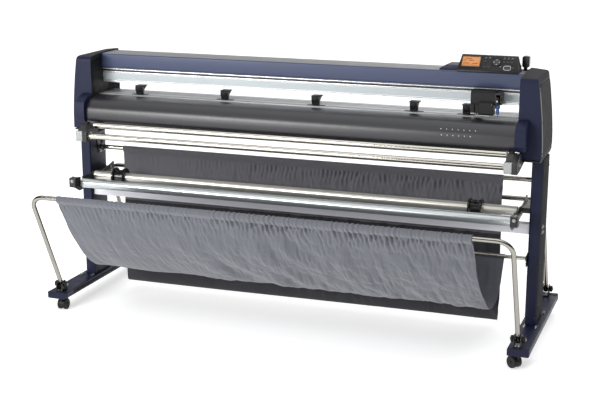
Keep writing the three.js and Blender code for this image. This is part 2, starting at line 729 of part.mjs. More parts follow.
/** Push roller, seen from its hinge: a block, an arm that slopes forward and the wheel. */
function pushRollerGeometry() {
  const half = ROLLER.width / 2;
  const wheelY = ROLLER.y - ROLLER.pivotY;
  const wheelZ = PLATEN.top + DRIVE.rise + 0.4 + ROLLER.wheel - ROLLER.pivotZ;
  const body = alongX(outline([
    [8, -6], [8, 5], [-34, 6], [-46, 3], [-46, -8], [-38, -20], [-14, -20], [-4, -8],
  ]), -half, half);
  const armHalf = 7;
  const arms = [-1, 1].map((side) => {
    const x = side * (half - armHalf);
    const web = outline([[-34, -18], [wheelY - 8, wheelZ - 3], [wheelY + 8, wheelZ - 3], [-16, -18]]);
    return alongX(web, x - 4, x + 4);
  });
  const wheelHalf = ROLLER.wheelWidth / 2 + 6;
  const wheel = barX(ROLLER.wheel, -wheelHalf, wheelHalf, wheelY, wheelZ);
  return join(body, ...arms, wheel);
}

/** Carriage: a shell on the front of the rail and a head in front of it, over the bed. */
function carriageGeometry() {
  const { half, front, top, bottom, shellBottom } = CARRIAGE;
  const rear = RAIL.front - GAP;
  const shell = alongX(outline([
    [rear, shellBottom], [rear, 1060], [rear - 12, top], [front + 30, top],
    [front + 15, top - 12], [front + 15, shellBottom],
  ]), -half, half);
  const head = alongX(outline([
    [front + 44, bottom], [front + 44, 1040], [front + 10, 1052], [front, 1040],
    [front, bottom + 6], [front + 6, bottom],
  ]), -half + 8, half - 10);
  return join(shell, head);
}

/** Tool clamp beside the carriage, with the round blade holder that goes down to the media. */
function toolHolderGeometry() {
  const clamp = box([-8, 8], [-16, 16], [22, 62]);
  const barrel = barZ(TOOL.radius, 6, 70);
  const tip = barZ(TOOL.radius / 2, 0, 8);
  return join(clamp, barrel, tip);
}

/** Lever that lifts the push rollers: boss and pin in the beam, neck and knob above it. */
function setLeverGeometry() {
  const halfNeck = LEVER.neck / 2;
  const halfKnob = LEVER.knob / 2;
  const knob = alongX(outline([
    [-halfKnob, LEVER.knobBottom], [halfKnob, LEVER.knobBottom],
    [halfKnob, LEVER.knobTop - 8], [halfKnob - 8, LEVER.knobTop],
    [-halfKnob + 8, LEVER.knobTop], [-halfKnob, LEVER.knobTop - 8],
  ]), -halfKnob + 2, halfKnob + 2);
  return join(
    barX(LEVER.boss, -halfNeck, halfNeck),
    barX(3, -halfNeck, UNIT_HALF - LEVER.x - GAP),
    box([-halfNeck, halfNeck], [-7, 7], [0, LEVER.knobBottom + 4]),
    knob,
  );
}

function mechanism() {
  const group = new THREE.Group();
  group.add(part('drive_shaft', driveShaftGeometry(), ALUMINIUM, [0, ROLLER.y, DRIVE_Z]));
  const roller = pushRollerGeometry();
  ROLLER_X.forEach((x, i) => {
    group.add(part(`push_roller_${i + 1}`, roller, BLACK, [x, ROLLER.pivotY, ROLLER.pivotZ]));
  });
  group.add(part('carriage', carriageGeometry(), BLACK, [CARRIAGE.x, 0, 0]));
  group.add(part('tool_holder', toolHolderGeometry(), BLUE, [TOOL.x, TOOL.y, TOOL.bottom]));
  group.add(part('set_lever', setLeverGeometry(), BLACK, [LEVER.x, LEVER.y, LEVER.z]));
  return group;
}

// ---- control panel ------------------------------------------------------------------------

/** A frame on the sloping face: X along the machine, Y up the slope, Z out of the face. */
function faceGroup() {
  const group = new THREE.Group();
  group.position.set(
    PANEL.x,
    (FACE_FOOT[0] + FACE_HEAD[0]) / 2,
    (FACE_FOOT[1] + FACE_HEAD[1]) / 2,
  );
  group.rotation.x = FACE_TILT;
  group.updateMatrix();
  return group;
}

function keyGeometry({ width, height, thickness }) {
  const corner = Math.min(width, height) / 3;
  const [w, h] = [width / 2, height / 2];
  return alongZ(outline([
    [-w + corner, -h], [w - corner, -h], [w, -h + corner], [w, h - corner],
    [w - corner, h], [-w + corner, h], [-w, h - corner], [-w, -h + corner],
  ]), 0, thickness);
}

/** Housing on a low plinth along the beam, with a pocket for each key in its sloping face. */
function controlPanelGeometry(face) {
  const base = TOP_BEAM.top + GAP;
  const side = alongX(outline([
    [PANEL.front, base], [PANEL.rear, base], [FACE_HEAD[0] + 14, PANEL.top], FACE_HEAD, FACE_FOOT,
  ]), PANEL.x - PANEL.width / 2, PANEL.x + PANEL.width / 2);
  const halfTop = PANEL.topWidth / 2;
  const halfFoot = PANEL.width / 2;
  const frontView = alongY(outline([
    [PANEL.x - halfFoot, base - 1], [PANEL.x + halfFoot, base - 1],
    [PANEL.x + halfTop, PANEL.top + 1], [PANEL.x - halfTop, PANEL.top + 1],
  ]), PANEL.front - 1, PANEL.rear + 1);
  const plinthTop = base + PLINTH.height;
  const plinth = alongY(outline([
    [PLINTH.left, base], [LEVER.x - LEVER.neck, base], [LEVER.x - LEVER.neck, plinthTop],
    [PLINTH.left + 28, plinthTop], [PLINTH.left, base + 6],
  ]), PLINTH.front, PLINTH.rear);
  const pockets = [ENTER_KEY, ARROW_KEY].map(({ x, y, width, height, travel, thickness }) => {
    const halfWide = width / 2 + KEY_GAP;
    const halfHigh = height / 2 + KEY_GAP;
    const depth = thickness - 2 + travel + KEY_GAP;
    const pocket = box([x - halfWide, x + halfWide], [y - halfHigh, y + halfHigh], [-depth, 10]);
    return pocket.applyMatrix4(face.matrix);
  });
  return cut(join(common(side, frontView), plinth), ...pockets);
}

function controlPanel() {
  const group = new THREE.Group();
  const face = faceGroup();
  group.add(part('control_panel', controlPanelGeometry(face), NAVY));
  const screen = box(
    [-DISPLAY.width / 2, DISPLAY.width / 2],
    [-DISPLAY.height / 2, DISPLAY.height / 2],
    [GAP, DISPLAY.thickness],
  );
  face.add(part('display', screen, LCD, [DISPLAY.x, DISPLAY.y, 0]));
  for (const [name, key] of [['enter_key', ENTER_KEY], ['arrow_key', ARROW_KEY]]) {
    face.add(part(name, keyGeometry(key), BLACK, [key.x, key.y, 2 - key.thickness]));
  }
  group.add(face);
  return group;
}

// ---- whole machine ------------------------------------------------------------------------

const machine = new THREE.Group();
machine.add(stand(), casters(), baskets(), stockHolders(), headFrame(), mechanism(), controlPanel());

const footprint = new THREE.Box3().setFromObject(machine, true);
machine.position.y = -(footprint.min.y + footprint.max.y) / 2;

const vinylCutter = new THREE.Group();
vinylCutter.add(machine);

export default vinylCutter;
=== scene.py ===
# Looks of a wide-format vinyl cutter on a wheeled stand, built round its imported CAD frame.
# Every outline and length below is in millimetres in the machine's own frame: X runs along the
# machine to its control-panel end, Y to its back from the middle of the posts, Z up from the
# floor. m() turns them into metres in the row frame.

import math
import random

import bmesh
import bpy
import numpy as np
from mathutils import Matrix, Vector


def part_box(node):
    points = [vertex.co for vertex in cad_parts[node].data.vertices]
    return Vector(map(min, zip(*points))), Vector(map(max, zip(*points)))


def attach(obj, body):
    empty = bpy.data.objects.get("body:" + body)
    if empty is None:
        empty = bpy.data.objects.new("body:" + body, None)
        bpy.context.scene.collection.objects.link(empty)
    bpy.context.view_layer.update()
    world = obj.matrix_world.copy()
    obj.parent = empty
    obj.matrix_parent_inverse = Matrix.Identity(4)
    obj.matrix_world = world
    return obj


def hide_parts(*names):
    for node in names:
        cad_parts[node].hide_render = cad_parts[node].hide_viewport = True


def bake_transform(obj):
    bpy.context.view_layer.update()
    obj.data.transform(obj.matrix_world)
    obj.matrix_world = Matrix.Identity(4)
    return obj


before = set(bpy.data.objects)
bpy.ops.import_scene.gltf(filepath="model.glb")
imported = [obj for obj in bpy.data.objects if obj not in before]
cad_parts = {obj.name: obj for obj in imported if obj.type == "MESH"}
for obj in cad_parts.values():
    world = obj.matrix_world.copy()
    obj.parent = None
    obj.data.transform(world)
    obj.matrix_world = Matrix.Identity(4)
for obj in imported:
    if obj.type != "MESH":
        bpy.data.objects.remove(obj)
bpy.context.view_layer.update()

SIDES = {"left": -1, "right": 1}
ENDS = {"front": -1, "rear": 1}
HANDS = (-1, 1)
POST_LOW, POST_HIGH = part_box("post_left")
MID_Y = (POST_LOW.y + POST_HIGH.y) / 2
MM = 0.001


def m(x, y, z):
    """Machine millimetres to metres in the row frame."""
    return Vector((x * MM, MID_Y + y * MM, z * MM))


# ---- driving dimensions ------------------------------------------------------------------------

FOOT = {"x": 1037, "half_width": 43, "half_length": 379, "bottom": 63, "top": 91, "cap": 26}
FOOT_CORE = {"half_width": 32, "half_length": 298, "z": (64, 86)}
POST = {"inner": 1008, "outer": 1057, "half_depth": 74, "bottom": 91.3, "top": 789.7}
CASTER = {"x": 1030, "y": 347, "trail": 16, "radius": 25, "gap": 12, "width": 15}
CASTER_YAW = {"front_left": 4, "front_right": 52, "rear_left": 150, "rear_right": 195}
PIVOT = {"y": 343, "z": 123}
ARM = {"x": 1030, "length": 502, "radius": 9.5, "bend": 62, "tail": 12}
ARM_LEAN = 25.4
FRONT_ROD = (-73, 375)
REAR_ROD = (25, 685)
ROD_END = 1003
ROD_PLATE = (1004.2, 1007.7)
SLEEVE = 11.2
CLOTH_THICKNESS = 1.2
FRONT_PIPE = (-229, 570)
FEED_SHAFT = (-110, 582)
PIPE_END = 966
FLANGE_X = {"left": -838, "right": 793}
BRACKET_X = 968
GUIDE_ARM = {"left": -931, "right": 963.3}
GUIDE_RODS = {"upper": (-205, 831), "lower": (-252, 791)}
GUIDE_ROD_RADIUS = 13
GUIDE_BLOCK = 32
UNIT_SPAN = (-956, 956)
COVER = {"front": -132, "rear": 135, "bottom": 800, "top": 1134, "inner": 956.3}
COVER_SIDE = [(1053, 800), (1052, 870), (1047, 950), (1038, 1040), (1028, 1119)]
TOP_BEAM = {"front": -29, "rear": 108, "bottom": 1063.3, "top": 1128}
RAIL = {"front": -25, "rear": 60, "bottom": 998, "top": 1063}
PLATEN_TOP = 951
ROLLER_X = (-766, -350, 72, 504, 727, 775)
ROLLER_PIN = (-30, 958.8)
DRIVE = (-30, 939.4)
DRIVE_END = 975
CARRIAGE_X = 805
TOOL = (864, -92)
LEVER = (938, 90, 1098)
PANEL = {"x": 806, "foot": (-40, 1136.3), "head": (6, 1192), "plinth_end": 684}


# ---- materials ---------------------------------------------------------------------------------


def set_inputs(tree, node, values):
    """Links the sockets among values to a node's inputs and stores the plain ones in them."""
    for key, value in values.items():
        if isinstance(value, bpy.types.NodeSocket):
            tree.links.new(value, node.inputs[key])
        else:
            node.inputs[key].default_value = value


def add_node(tree, kind, values, **settings):
    node = tree.nodes.new(f"ShaderNode{kind}")
    for key, value in settings.items():
        setattr(node, key, value)
    set_inputs(tree, node, values)
    return node


def coordinates(tree, kind="Object", stretch=(1, 1, 1)):
    place = add_node(tree, "TexCoord", {}).outputs[kind]
    return add_node(tree, "Mapping", {"Vector": place, "Scale": stretch}).outputs["Vector"]


def noise(tree, place, scale, detail, rough=0.55):
    values = {"Vector": place, "Scale": scale, "Detail": detail, "Roughness": rough}
    return add_node(tree, "TexNoise", values).outputs["Fac"]


def spread(tree, value, low, high, start=0.3, end=0.7):
    """Maps a texture's middle range onto low..high."""
    values = {"Value": value, "From Min": start, "From Max": end, "To Min": low, "To Max": high}
    return add_node(tree, "MapRange", values).outputs["Result"]


def blend_colors(tree, factor, first, second):
    values = {0: factor, 6: (*first, 1), 7: (*second, 1)}
    return add_node(tree, "Mix", values, data_type="RGBA").outputs[2]


def bump(tree, height, distance, strength=1.0):
    values = {"Height": height, "Distance": distance, "Strength": strength}
    return add_node(tree, "Bump", values).outputs["Normal"]


def new_material(name, slot):
    material = bpy.data.materials.new(name)
    material.use_nodes = True
    material["slot"] = slot
    return material, material.node_tree, material.node_tree.nodes["Principled BSDF"]


def finish(name, slot, color, roughness, metallic=0.0, vary=0.12, vary_scale=6.0, scuff=0.07,
           grain=0.00004, grain_scale=1400.0, stretch=(1, 1, 1), coat=0.0, coat_rough=0.12,
           specular=0.5, edge=1.0):
    """A surface whose colour, gloss and fine grain all vary a little over the piece."""
    material, tree, shader = new_material(name, slot)
    plain = coordinates(tree)
    along = coordinates(tree, stretch=stretch)
    cloud = noise(tree, plain, vary_scale, 5)
    darker = [c * (1 - vary) for c in color]
    lighter = [min(1, c * (1 + vary)) for c in color]
    wear = noise(tree, along, vary_scale * 5, 6, 0.65)
    fine = noise(tree, along, grain_scale, 2)
    set_inputs(tree, shader, {
        "Base Color": blend_colors(tree, cloud, darker, lighter),
        "Roughness": spread(tree, wear, roughness - scuff, roughness + scuff),
        "Normal": bump(tree, fine, grain),
        "Metallic": metallic,
        "Coat Weight": coat,
        "Coat Roughness": coat_rough,
        "Specular Tint": (edge, edge, edge, 1),
        "Specular IOR Level": specular,
    })
    return material


THREAD = 0.0016


def weave(name, slot, dark, light, panel=None):
    """Plain weave with slubs: warp and weft ridges from two bands of waves along the cloth.

    panel gives the middle and half width, in metres down the cloth, of a band of painted shade,
    where the cloth hangs in shadow.
    """
    material, tree, shader = new_material(name, slot)
    flat = coordinates(tree, "UV")
    waves = {"Vector": flat, "Scale": math.pi / (10 * THREAD), "Distortion": 0.6, "Detail": 1}
    warp, weft = (
        add_node(tree, "TexWave", waves, bands_direction=direction).outputs["Fac"]
        for direction in ("X", "Y")
    )
    cross = add_node(tree, "Math", {0: warp, 1: weft}, operation="MULTIPLY").outputs[0]
    slub = noise(tree, coordinates(tree, "UV", (40, 55, 1)), 1.0, 5, 0.7)
    speck = spread(tree, noise(tree, flat, 300, 3, 0.75), 0.1, 0.6)
    mixed = add_node(tree, "Math", {0: slub, 1: 0.35, 2: speck}, operation="MULTIPLY_ADD")
    cloth_color = blend_colors(tree, mixed.outputs[0], dark, light)
    if panel:
        cloth_color = painted_shade_band(tree, flat, cloth_color, *panel)
    set_inputs(tree, shader, {
        "Base Color": cloth_color,
        "Normal": bump(tree, cross, 0.0003, 0.6),
        "Roughness": 0.93,
        "Sheen Weight": 0.25,
        "Sheen Roughness": 0.5,
        "Specular IOR Level": 0.2,
    })
    return material


def painted_shade_band(tree, flat, color, middle, reach):
    """Painted shade: multiplies a colour down within reach of a line across the cloth."""
    down = add_node(tree, "SeparateXYZ", {0: flat}).outputs["Y"]
    inside = add_node(tree, "Math", {0: down, 1: middle, 2: reach}, operation="COMPARE")
    # The multiplier below is how deep the painted shade is.
    values = {0: inside.outputs[0], 6: color, 7: (0.30, 0.30, 0.31, 1)}
    shade = add_node(tree, "Mix", values, data_type="RGBA", blend_type="MULTIPLY")
    return shade.outputs[2]


def screen_material():
    material, tree, shader = new_material("lit_screen", "screen")
    cloud = noise(tree, coordinates(tree), 18, 2)
    glow = blend_colors(tree, cloud, (0.52, 0.17, 0.035), (0.62, 0.26, 0.08))
    set_inputs(tree, shader, {
        "Base Color": glow,
        "Emission Color": glow,
        "Emission Strength": 0.2,
        "Roughness": 0.12,
    })
    return material


NAVY = finish("navy_paint", "navy_paint", (0.0096, 0.0130, 0.039), 0.42,
              grain=0.00006, grain_scale=900, specular=0.22)
NAVY_SATIN = finish("navy_satin", "navy_plastic", (0.0092, 0.0124, 0.038), 0.44,
                    grain=0.00006, grain_scale=1100, specular=0.22)
NAVY_BEAM = finish("navy_beam", "navy_plastic", (0.038, 0.053, 0.118), 0.42, vary=0.06,
                   grain=0.00004, stretch=(0.05, 1, 1))
NAVY_CAP = finish("navy_cap", "navy_paint", (0.010, 0.0125, 0.034), 0.5, grain=0.00008,
                  specular=0.2)
PANEL_SKIN = finish("panel_skin", "panel_plastic", (0.014, 0.013, 0.013), 0.42, specular=0.3)
GREY_SHELL = finish("grey_shell", "navy_plastic", (0.062, 0.062, 0.065), 0.7, grain=0.00009,
                    grain_scale=1200, specular=0.03)
GREY_SIDE = finish("grey_side", "navy_paint", (0.038, 0.038, 0.038), 0.7, grain=0.00008,
                   specular=0.02)
# Light grey for the top beam's upward faces: painted reflection of the light overhead.
BEAM_TOP_REFLECTION = finish("painted_reflection_top", "navy_plastic", (0.22, 0.225, 0.235), 0.45, vary=0.06)
GREY_TRIM = finish("grey_trim", "navy_plastic", (0.17, 0.172, 0.18), 0.42)
BLACK = finish("black_plastic", "black_plastic", (0.0075, 0.0075, 0.008), 0.45, grain=0.00012,
               grain_scale=1000, specular=0.25)
BLACK_SATIN = finish("black_satin", "black_plastic", (0.016, 0.016, 0.0165), 0.5, specular=0.25)
BLACK_GLOSS = finish("black_gloss", "black_plastic", (0.008, 0.008, 0.009), 0.2, coat=0.3)
BLACK_PAINT = finish("black_paint", "black_paint", (0.010, 0.010, 0.010), 0.4, coat=0.1)
CHARCOAL = finish("charcoal_cover", "cover_plastic", (0.009, 0.009, 0.014), 0.36, vary=0.08,
                  scuff=0.03, grain=0.00003, coat=0.5, coat_rough=0.4, specular=0.5)
RUBBER = finish("tread_rubber", "tread_rubber", (0.011, 0.011, 0.012), 0.75, grain=0.0002,
                grain_scale=500)
CHROME = finish("warm_chrome", "chrome", (0.56, 0.54, 0.485), 0.14, metallic=1, vary=0.05,
                scuff=0.04, grain=0.00001, stretch=(0.1, 1, 1), edge=0.03)
# A darker copy of the warm chrome for the basket frames: painted shade for the dark room their
# tubes reflect.
CHROME_SHADED = finish("painted_shade_chrome", "chrome", (0.37, 0.355, 0.32), 0.13, metallic=1, vary=0.05,
                     scuff=0.04, grain=0.00001, stretch=(1, 1, 0.1), edge=0.03)
ZINC_WARM = finish("warm_zinc_tube", "zinc_steel", (0.68, 0.66, 0.60), 0.3, metallic=0.75,
                   vary=0.05, scuff=0.04, grain=0.00002, stretch=(0.05, 1, 1))
ZINC = finish("zinc_tube", "zinc_steel", (0.56, 0.595, 0.605), 0.3, metallic=0.75, vary=0.05,
              scuff=0.05, grain=0.00002, stretch=(0.05, 1, 1))
BOLT = finish("bolt_zinc", "zinc_steel", (0.40, 0.40, 0.385), 0.3, metallic=1)
ALUMINIUM = finish("satin_aluminium", "aluminium", (0.62, 0.63, 0.645), 0.4, metallic=0.55,
                   vary=0.05, grain=0.00003, stretch=(0.02, 1, 1))
BEAM_GREY = finish("brushed_beam", "aluminium", (0.83, 0.83, 0.88), 0.5, metallic=0.15,
                   vary=0.06, grain=0.00006, stretch=(0.02, 1, 1))
ALUMINIUM_BRIGHT = finish("bright_aluminium", "aluminium", (0.76, 0.77, 0.78), 0.25, metallic=0.8,
                          vary=0.03, scuff=0.04, grain=0.00001, stretch=(0.02, 1, 1))
STRIP = finish("rail_strip", "aluminium", (0.43, 0.47, 0.485), 0.42, metallic=0.3, vary=0.04,
               stretch=(0.02, 1, 1))
CAST = finish("grained_cast", "cast_alloy", (0.40, 0.41, 0.41), 0.55, metallic=0.3, vary=0.35,
              vary_scale=220, grain=0.0004, grain_scale=420)
BLUE = finish("blue_plastic", "blue_plastic", (0.02, 0.085, 0.30), 0.3)
PALE = finish("pale_mark", "aluminium", (0.55, 0.56, 0.58), 0.45)
LCD_INK = finish("lcd_ink", "black_plastic", (0.10, 0.045, 0.02), 0.3)
GRIT = finish("grit", "aluminium", (0.05, 0.05, 0.052), 0.6, metallic=0.5, vary=0.4,
              vary_scale=600, grain=0.0003, grain_scale=900)
SCREEN = screen_material()
CLOTH_LIGHT = weave("cloth_light", "fabric_light", (0.100, 0.104, 0.120), (0.172, 0.178, 0.202))
# The dark cloth carries a band of painted shade down its middle, where it hangs in shadow under the
# beams and pipes.
CLOTH_DARK = weave("cloth_dark", "fabric_dark", (0.100, 0.098, 0.110), (0.172, 0.170, 0.188),
                   panel=(0.61, 0.305))


# ---- shapes ------------------------------------------------------------------------------------


def arc(cy, cz, radius, start, end, steps):
    """Points along a circle in degrees, anticlockwise when end is above start."""
    turns = [math.radians(start + (end - start) * i / steps) for i in range(steps + 1)]
    return [(cy + radius * math.cos(t), cz + radius * math.sin(t)) for t in turns]


def rounded(a0, a1, b0, b1, radius, steps=5):
    """A rectangle's outline with round corners."""
    return [
        *arc(a1 - radius, b1 - radius, radius, 0, 90, steps),
        *arc(a0 + radius, b1 - radius, radius, 90, 180, steps),
        *arc(a0 + radius, b0 + radius, radius, 180, 270, steps),
        *arc(a1 - radius, b0 + radius, radius, 270, 360, steps),
    ]


SMOOTH_STEPS = 24


def smooth_line(points, count):
    """A smooth curve through 2D or 3D points, as count points equally far apart."""
    knots = [np.array(p, float) for p in points]
    knots = [2 * knots[0] - knots[1], *knots, 2 * knots[-1] - knots[-2]]
    fine = []
    for p0, p1, p2, p3 in zip(knots, knots[1:], knots[2:], knots[3:]):
        square, cube = 2 * p0 - 5 * p1 + 4 * p2 - p3, 3 * p1 - p0 - 3 * p2 + p3
        for t in np.linspace(0, 1, SMOOTH_STEPS, endpoint=False):
            fine.append(0.5 * (2 * p1 + (p2 - p0) * t + square * t**2 + cube * t**3))
    fine.append(knots[-2])
    return even_line(fine, count)


def even_line(points, count):
    """The same polyline with count points equally far apart."""
    line = np.array(points, float)
    steps = np.linalg.norm(np.diff(line, axis=0), axis=1)
    reach = np.concatenate([[0], np.cumsum(steps)])
    wanted = np.linspace(0, reach[-1], count)
    return np.stack([np.interp(wanted, reach, line[:, i]) for i in range(line.shape[1])], axis=1)


def line_length(points):
    return float(np.linalg.norm(np.diff(np.array(points, float), axis=0), axis=1).sum())


def even_ring(outline, count):
    """count points equally far apart round a closed outline, the first one also the last."""
    return even_line([*outline, outline[0]], count)


def normals(line):
    """Unit normals of a 2D line, to the left of its run."""
    tangent = np.gradient(line, axis=0)
    tangent /= np.linalg.norm(tangent, axis=1)[:, None]
    return np.stack([-tangent[:, 1], tangent[:, 0]], axis=1)


AXES = {"X": (1, 2, 0), "Y": (0, 2, 1), "Z": (0, 1, 2)}
DIRECTIONS = {"X": (1, 0, 0), "Y": (0, 1, 0), "Z": (0, 0, 1)}


class Build:
    """One piece's mesh, put together in machine millimetres."""

    def __init__(self):
        self.bm = bmesh.new()

    def _skin(self, rings):
        """Skins a list of equal vertex rings and closes both ends."""
        for lower, upper in zip(rings, rings[1:]):
            for i in range(len(lower)):
                j = (i + 1) % len(lower)
                self.bm.faces.new((lower[i], lower[j], upper[j], upper[i]))
        self.bm.faces.new(rings[0])
        self.bm.faces.new(rings[-1])
        return self

    def _ring(self, middle, radius, first, second, sides):
        turns = [2 * math.pi * k / sides for k in range(sides)]
        spokes = [first * math.cos(t) + second * math.sin(t) for t in turns]
        return [self.bm.verts.new(middle + radius * spoke) for spoke in spokes]

    def prism(self, axis, outline, low, high, warp=None):
        """An outline in the two other axes, extruded along axis. warp moves each point."""
        a, b, c = AXES[axis]
        rings = []
        for reach in (low, high):
            ring = []
            for u, v in outline:
                point = [0.0, 0.0, 0.0]
                point[a], point[b], point[c] = u, v, reach
                ring.append(self.bm.verts.new(warp(*point) if warp else point))
            rings.append(ring)
        return self._skin(rings)

    def box(self, x, y, z):
        return self.prism("X", [(y[0], z[0]), (y[1], z[0]), (y[1], z[1]), (y[0], z[1])], *x)

    def tube(self, path, radius, sides):
        """A round bar along a 3D path."""
        points = [Vector(p) for p in path]
        normal = None
        rings = []
        for i, point in enumerate(points):
            ahead = points[min(i + 1, len(points) - 1)] - points[max(i - 1, 0)]
            ahead.normalize()
            if normal is None:
                normal = ahead.orthogonal().normalized()
            else:
                normal = (normal - ahead * normal.dot(ahead)).normalized()
            rings.append(self._ring(point, radius, normal, ahead.cross(normal), sides))
        return self._skin(rings)

    def lathe(self, profile, centre, axis, sides):
        """Revolves (radius, along) points about an axis through centre. axis may be a vector."""
        along = Vector(DIRECTIONS[axis] if isinstance(axis, str) else axis).normalized()
        first = along.orthogonal().normalized()
        second = along.cross(first)
        centre = Vector(centre)
        rings = []
        for radius, reach in profile:
            middle = centre + along * reach
            if radius:
                rings.append(self._ring(middle, radius, first, second, sides))
            else:
                rings.append([self.bm.verts.new(middle)])
        for lower, upper in zip(rings, rings[1:]):
            for i in range(sides):
                j = (i + 1) % sides
                corners = [lower[i % len(lower)], lower[j % len(lower)],
                           upper[j % len(upper)], upper[i % len(upper)]]
                corners = list(dict.fromkeys(corners))
                if len(corners) > 2:
                    self.bm.faces.new(corners)
        for ring in (rings[0], rings[-1]):
            if len(ring) > 1:
                self.bm.faces.new(ring)
        return self

    def hex_bolt(self, centre, axis, size, height):
        """A hexagon head on a washer, its axis pointing out of the surface."""
        self.lathe([(size * 1.45, 0), (size * 1.45, 1.2)], centre, axis, 20)
        profile = [(size * 0.97, 1.2), (size, height), (size * 0.8, height + 0.8)]
        return self.lathe(profile, centre, axis, 6)

    def dome_screw(self, centre, axis, size):
        """A low round head with a socket in it."""
        profile = [(size, 0), (size, 0.8), (size * 0.8, 1.8), (size * 0.45, 2.2),
                   (size * 0.42, 0.9), (0, 0.9)]
        return self.lathe(profile, centre, axis, 16)

    def mesh(self, name):
        bmesh.ops.recalc_face_normals(self.bm, faces=self.bm.faces)
        for vertex in self.bm.verts:
            vertex.co = m(*vertex.co)
        mesh = bpy.data.meshes.new(name)
        self.bm.to_mesh(mesh)
        self.bm.free()
        return mesh


def place(name, data):
    """Puts a mesh, light or camera into the scene as a new object."""
    obj = bpy.data.objects.new(name, data)
    bpy.context.scene.collection.objects.link(obj)
    return obj


def shade(mesh, angle):
    for polygon in mesh.polygons:
        polygon.use_smooth = True
    mesh.set_sharp_from_angle(angle=math.radians(angle))


def repaint(mesh, index, where):
    """Gives the faces that where() picks another of the mesh's materials."""
    for polygon in mesh.polygons:
        if where(polygon):
            polygon.material_index = index


def add_bevel(obj, width, segments, angle=28):
    modifier = obj.modifiers.new("edge", "BEVEL")
    modifier.width = width * MM
    modifier.segments = segments
    modifier.limit_method = "ANGLE"
    modifier.angle_limit = math.radians(angle)
    modifier.harden_normals = True
    modifier.miter_outer = "MITER_ARC"


def piece(build, name, body, paints, bevel=0.0, segments=3, replaces=None, angle=32):
    """Turns a build into an object in the row frame that rides on a CAD body."""
    paints = paints if isinstance(paints, list) else [paints]
    mesh = build.mesh(name)
    for paint in paints:
        mesh.materials.append(paint)
    obj = place(name, mesh)
    shade(mesh, angle)
    if bevel:
        add_bevel(obj, bevel, segments)
    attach(obj, body)
    if replaces:
        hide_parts(replaces)
    return obj


WELD = 0.00002
FLAT_ANGLE = 0.5
CAD_EDGE_ANGLE = 30


def keep(name, paint, bevel, segments=2, merge=True):
    """Gives a CAD node its finish and softens its edges, without touching its vertices."""
    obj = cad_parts[name]
    obj.data.materials.clear()
    obj.data.materials.append(paint)
    for polygon in obj.data.polygons:
        polygon.material_index = 0
        polygon.use_smooth = True
    weld = obj.modifiers.new("weld", "WELD")
    weld.merge_threshold = WELD
    if merge:
        flat = obj.modifiers.new("flat", "DECIMATE")
        flat.decimate_type = "DISSOLVE"
        flat.angle_limit = math.radians(FLAT_ANGLE)
        flat.delimit = {"MATERIAL"}
    add_bevel(obj, bevel, segments, CAD_EDGE_ANGLE)


# ---- stand -------------------------------------------------------------------------------------


def feet():
    half, length, over = FOOT["half_width"] + 1, FOOT["half_length"], 1.5
    for side_name, side in SIDES.items():
        keep(f"foot_{side_name}", NAVY, 2.2, 3)
        x = side * FOOT["x"]
        caps = Build()
        section = rounded(x - half, x + half, FOOT["bottom"] - over, FOOT["top"] + over, 5)
        for end in ENDS.values():
            y = sorted((end * (length - FOOT["cap"]), end * (length + over)))
            caps.prism("Y", section, *y)
        piece(caps, f"foot_caps_{side_name}", "root", NAVY_CAP, 1.6)
        wide, long = FOOT_CORE["half_width"], FOOT_CORE["half_length"]
        core = Build().box((x - wide, x + wide), (-long, long), FOOT_CORE["z"])
        piece(core, f"foot_core_{side_name}", "root", BLACK, 0.5, 1)
        bolts = Build()
        for y in (-104, -88, 88, 104):
            for dx in (-24, 24):
                bolts.hex_bolt((x + dx, y, FOOT["top"]), "Z", 5, 5)
        piece(bolts, f"foot_bolts_{side_name}", "root", BOLT, 0.4, 2)


def posts():
    inner, outer, half = POST["inner"], POST["outer"], POST["half_depth"]
    for side_name, side in SIDES.items():
        x = sorted((side * inner, side * outer))
        tube = Build().prism("Z", rounded(*x, -half, half, 7), POST["bottom"], POST["top"])
        skin = piece(tube, f"post_tube_{side_name}", "root", [NAVY, GREY_SIDE], 0.6, 2,
                     f"post_{side_name}")
        repaint(skin.data, 1, lambda face: face.normal.x * side > 0.7)
        screws = Build()
        for z in (180, 360, 745):
            for y in (-62, 62):
                screws.dome_screw((side * outer, y, z), (side, 0, 0), 4)
        for z in (768, 120):
            for dx in (-13, 13):
                screws.dome_screw((side * (inner + outer) / 2 + dx, -half, z), (0, -1, 0), 3.2)
        piece(screws, f"post_screws_{side_name}", "root", BLACK_GLOSS, 0.2, 1)


def crossbeam():
    keep("crossbeam", BEAM_GREY, 1.5)
    bolts = Build()
    for side in SIDES.values():
        for z in (484, 506):
            for y in (-44, -26):
                bolts.hex_bolt((side * POST["outer"], y, z), (side, 0, 0), 5, 4)
    piece(bolts, "crossbeam_bolts", "root", BOLT, 0.4, 2)


def caster_place(where):
    """A caster's middle on the floor, the line of its axle and the way it trails."""
    end, side = where.split("_")
    yaw = math.radians(CASTER_YAW[where])
    axle = Vector((math.cos(yaw), math.sin(yaw), 0))
    back = Vector((-math.sin(yaw), math.cos(yaw), 0))
    return Vector((SIDES[side] * CASTER["x"], ENDS[end] * CASTER["y"], 0)), axle, back


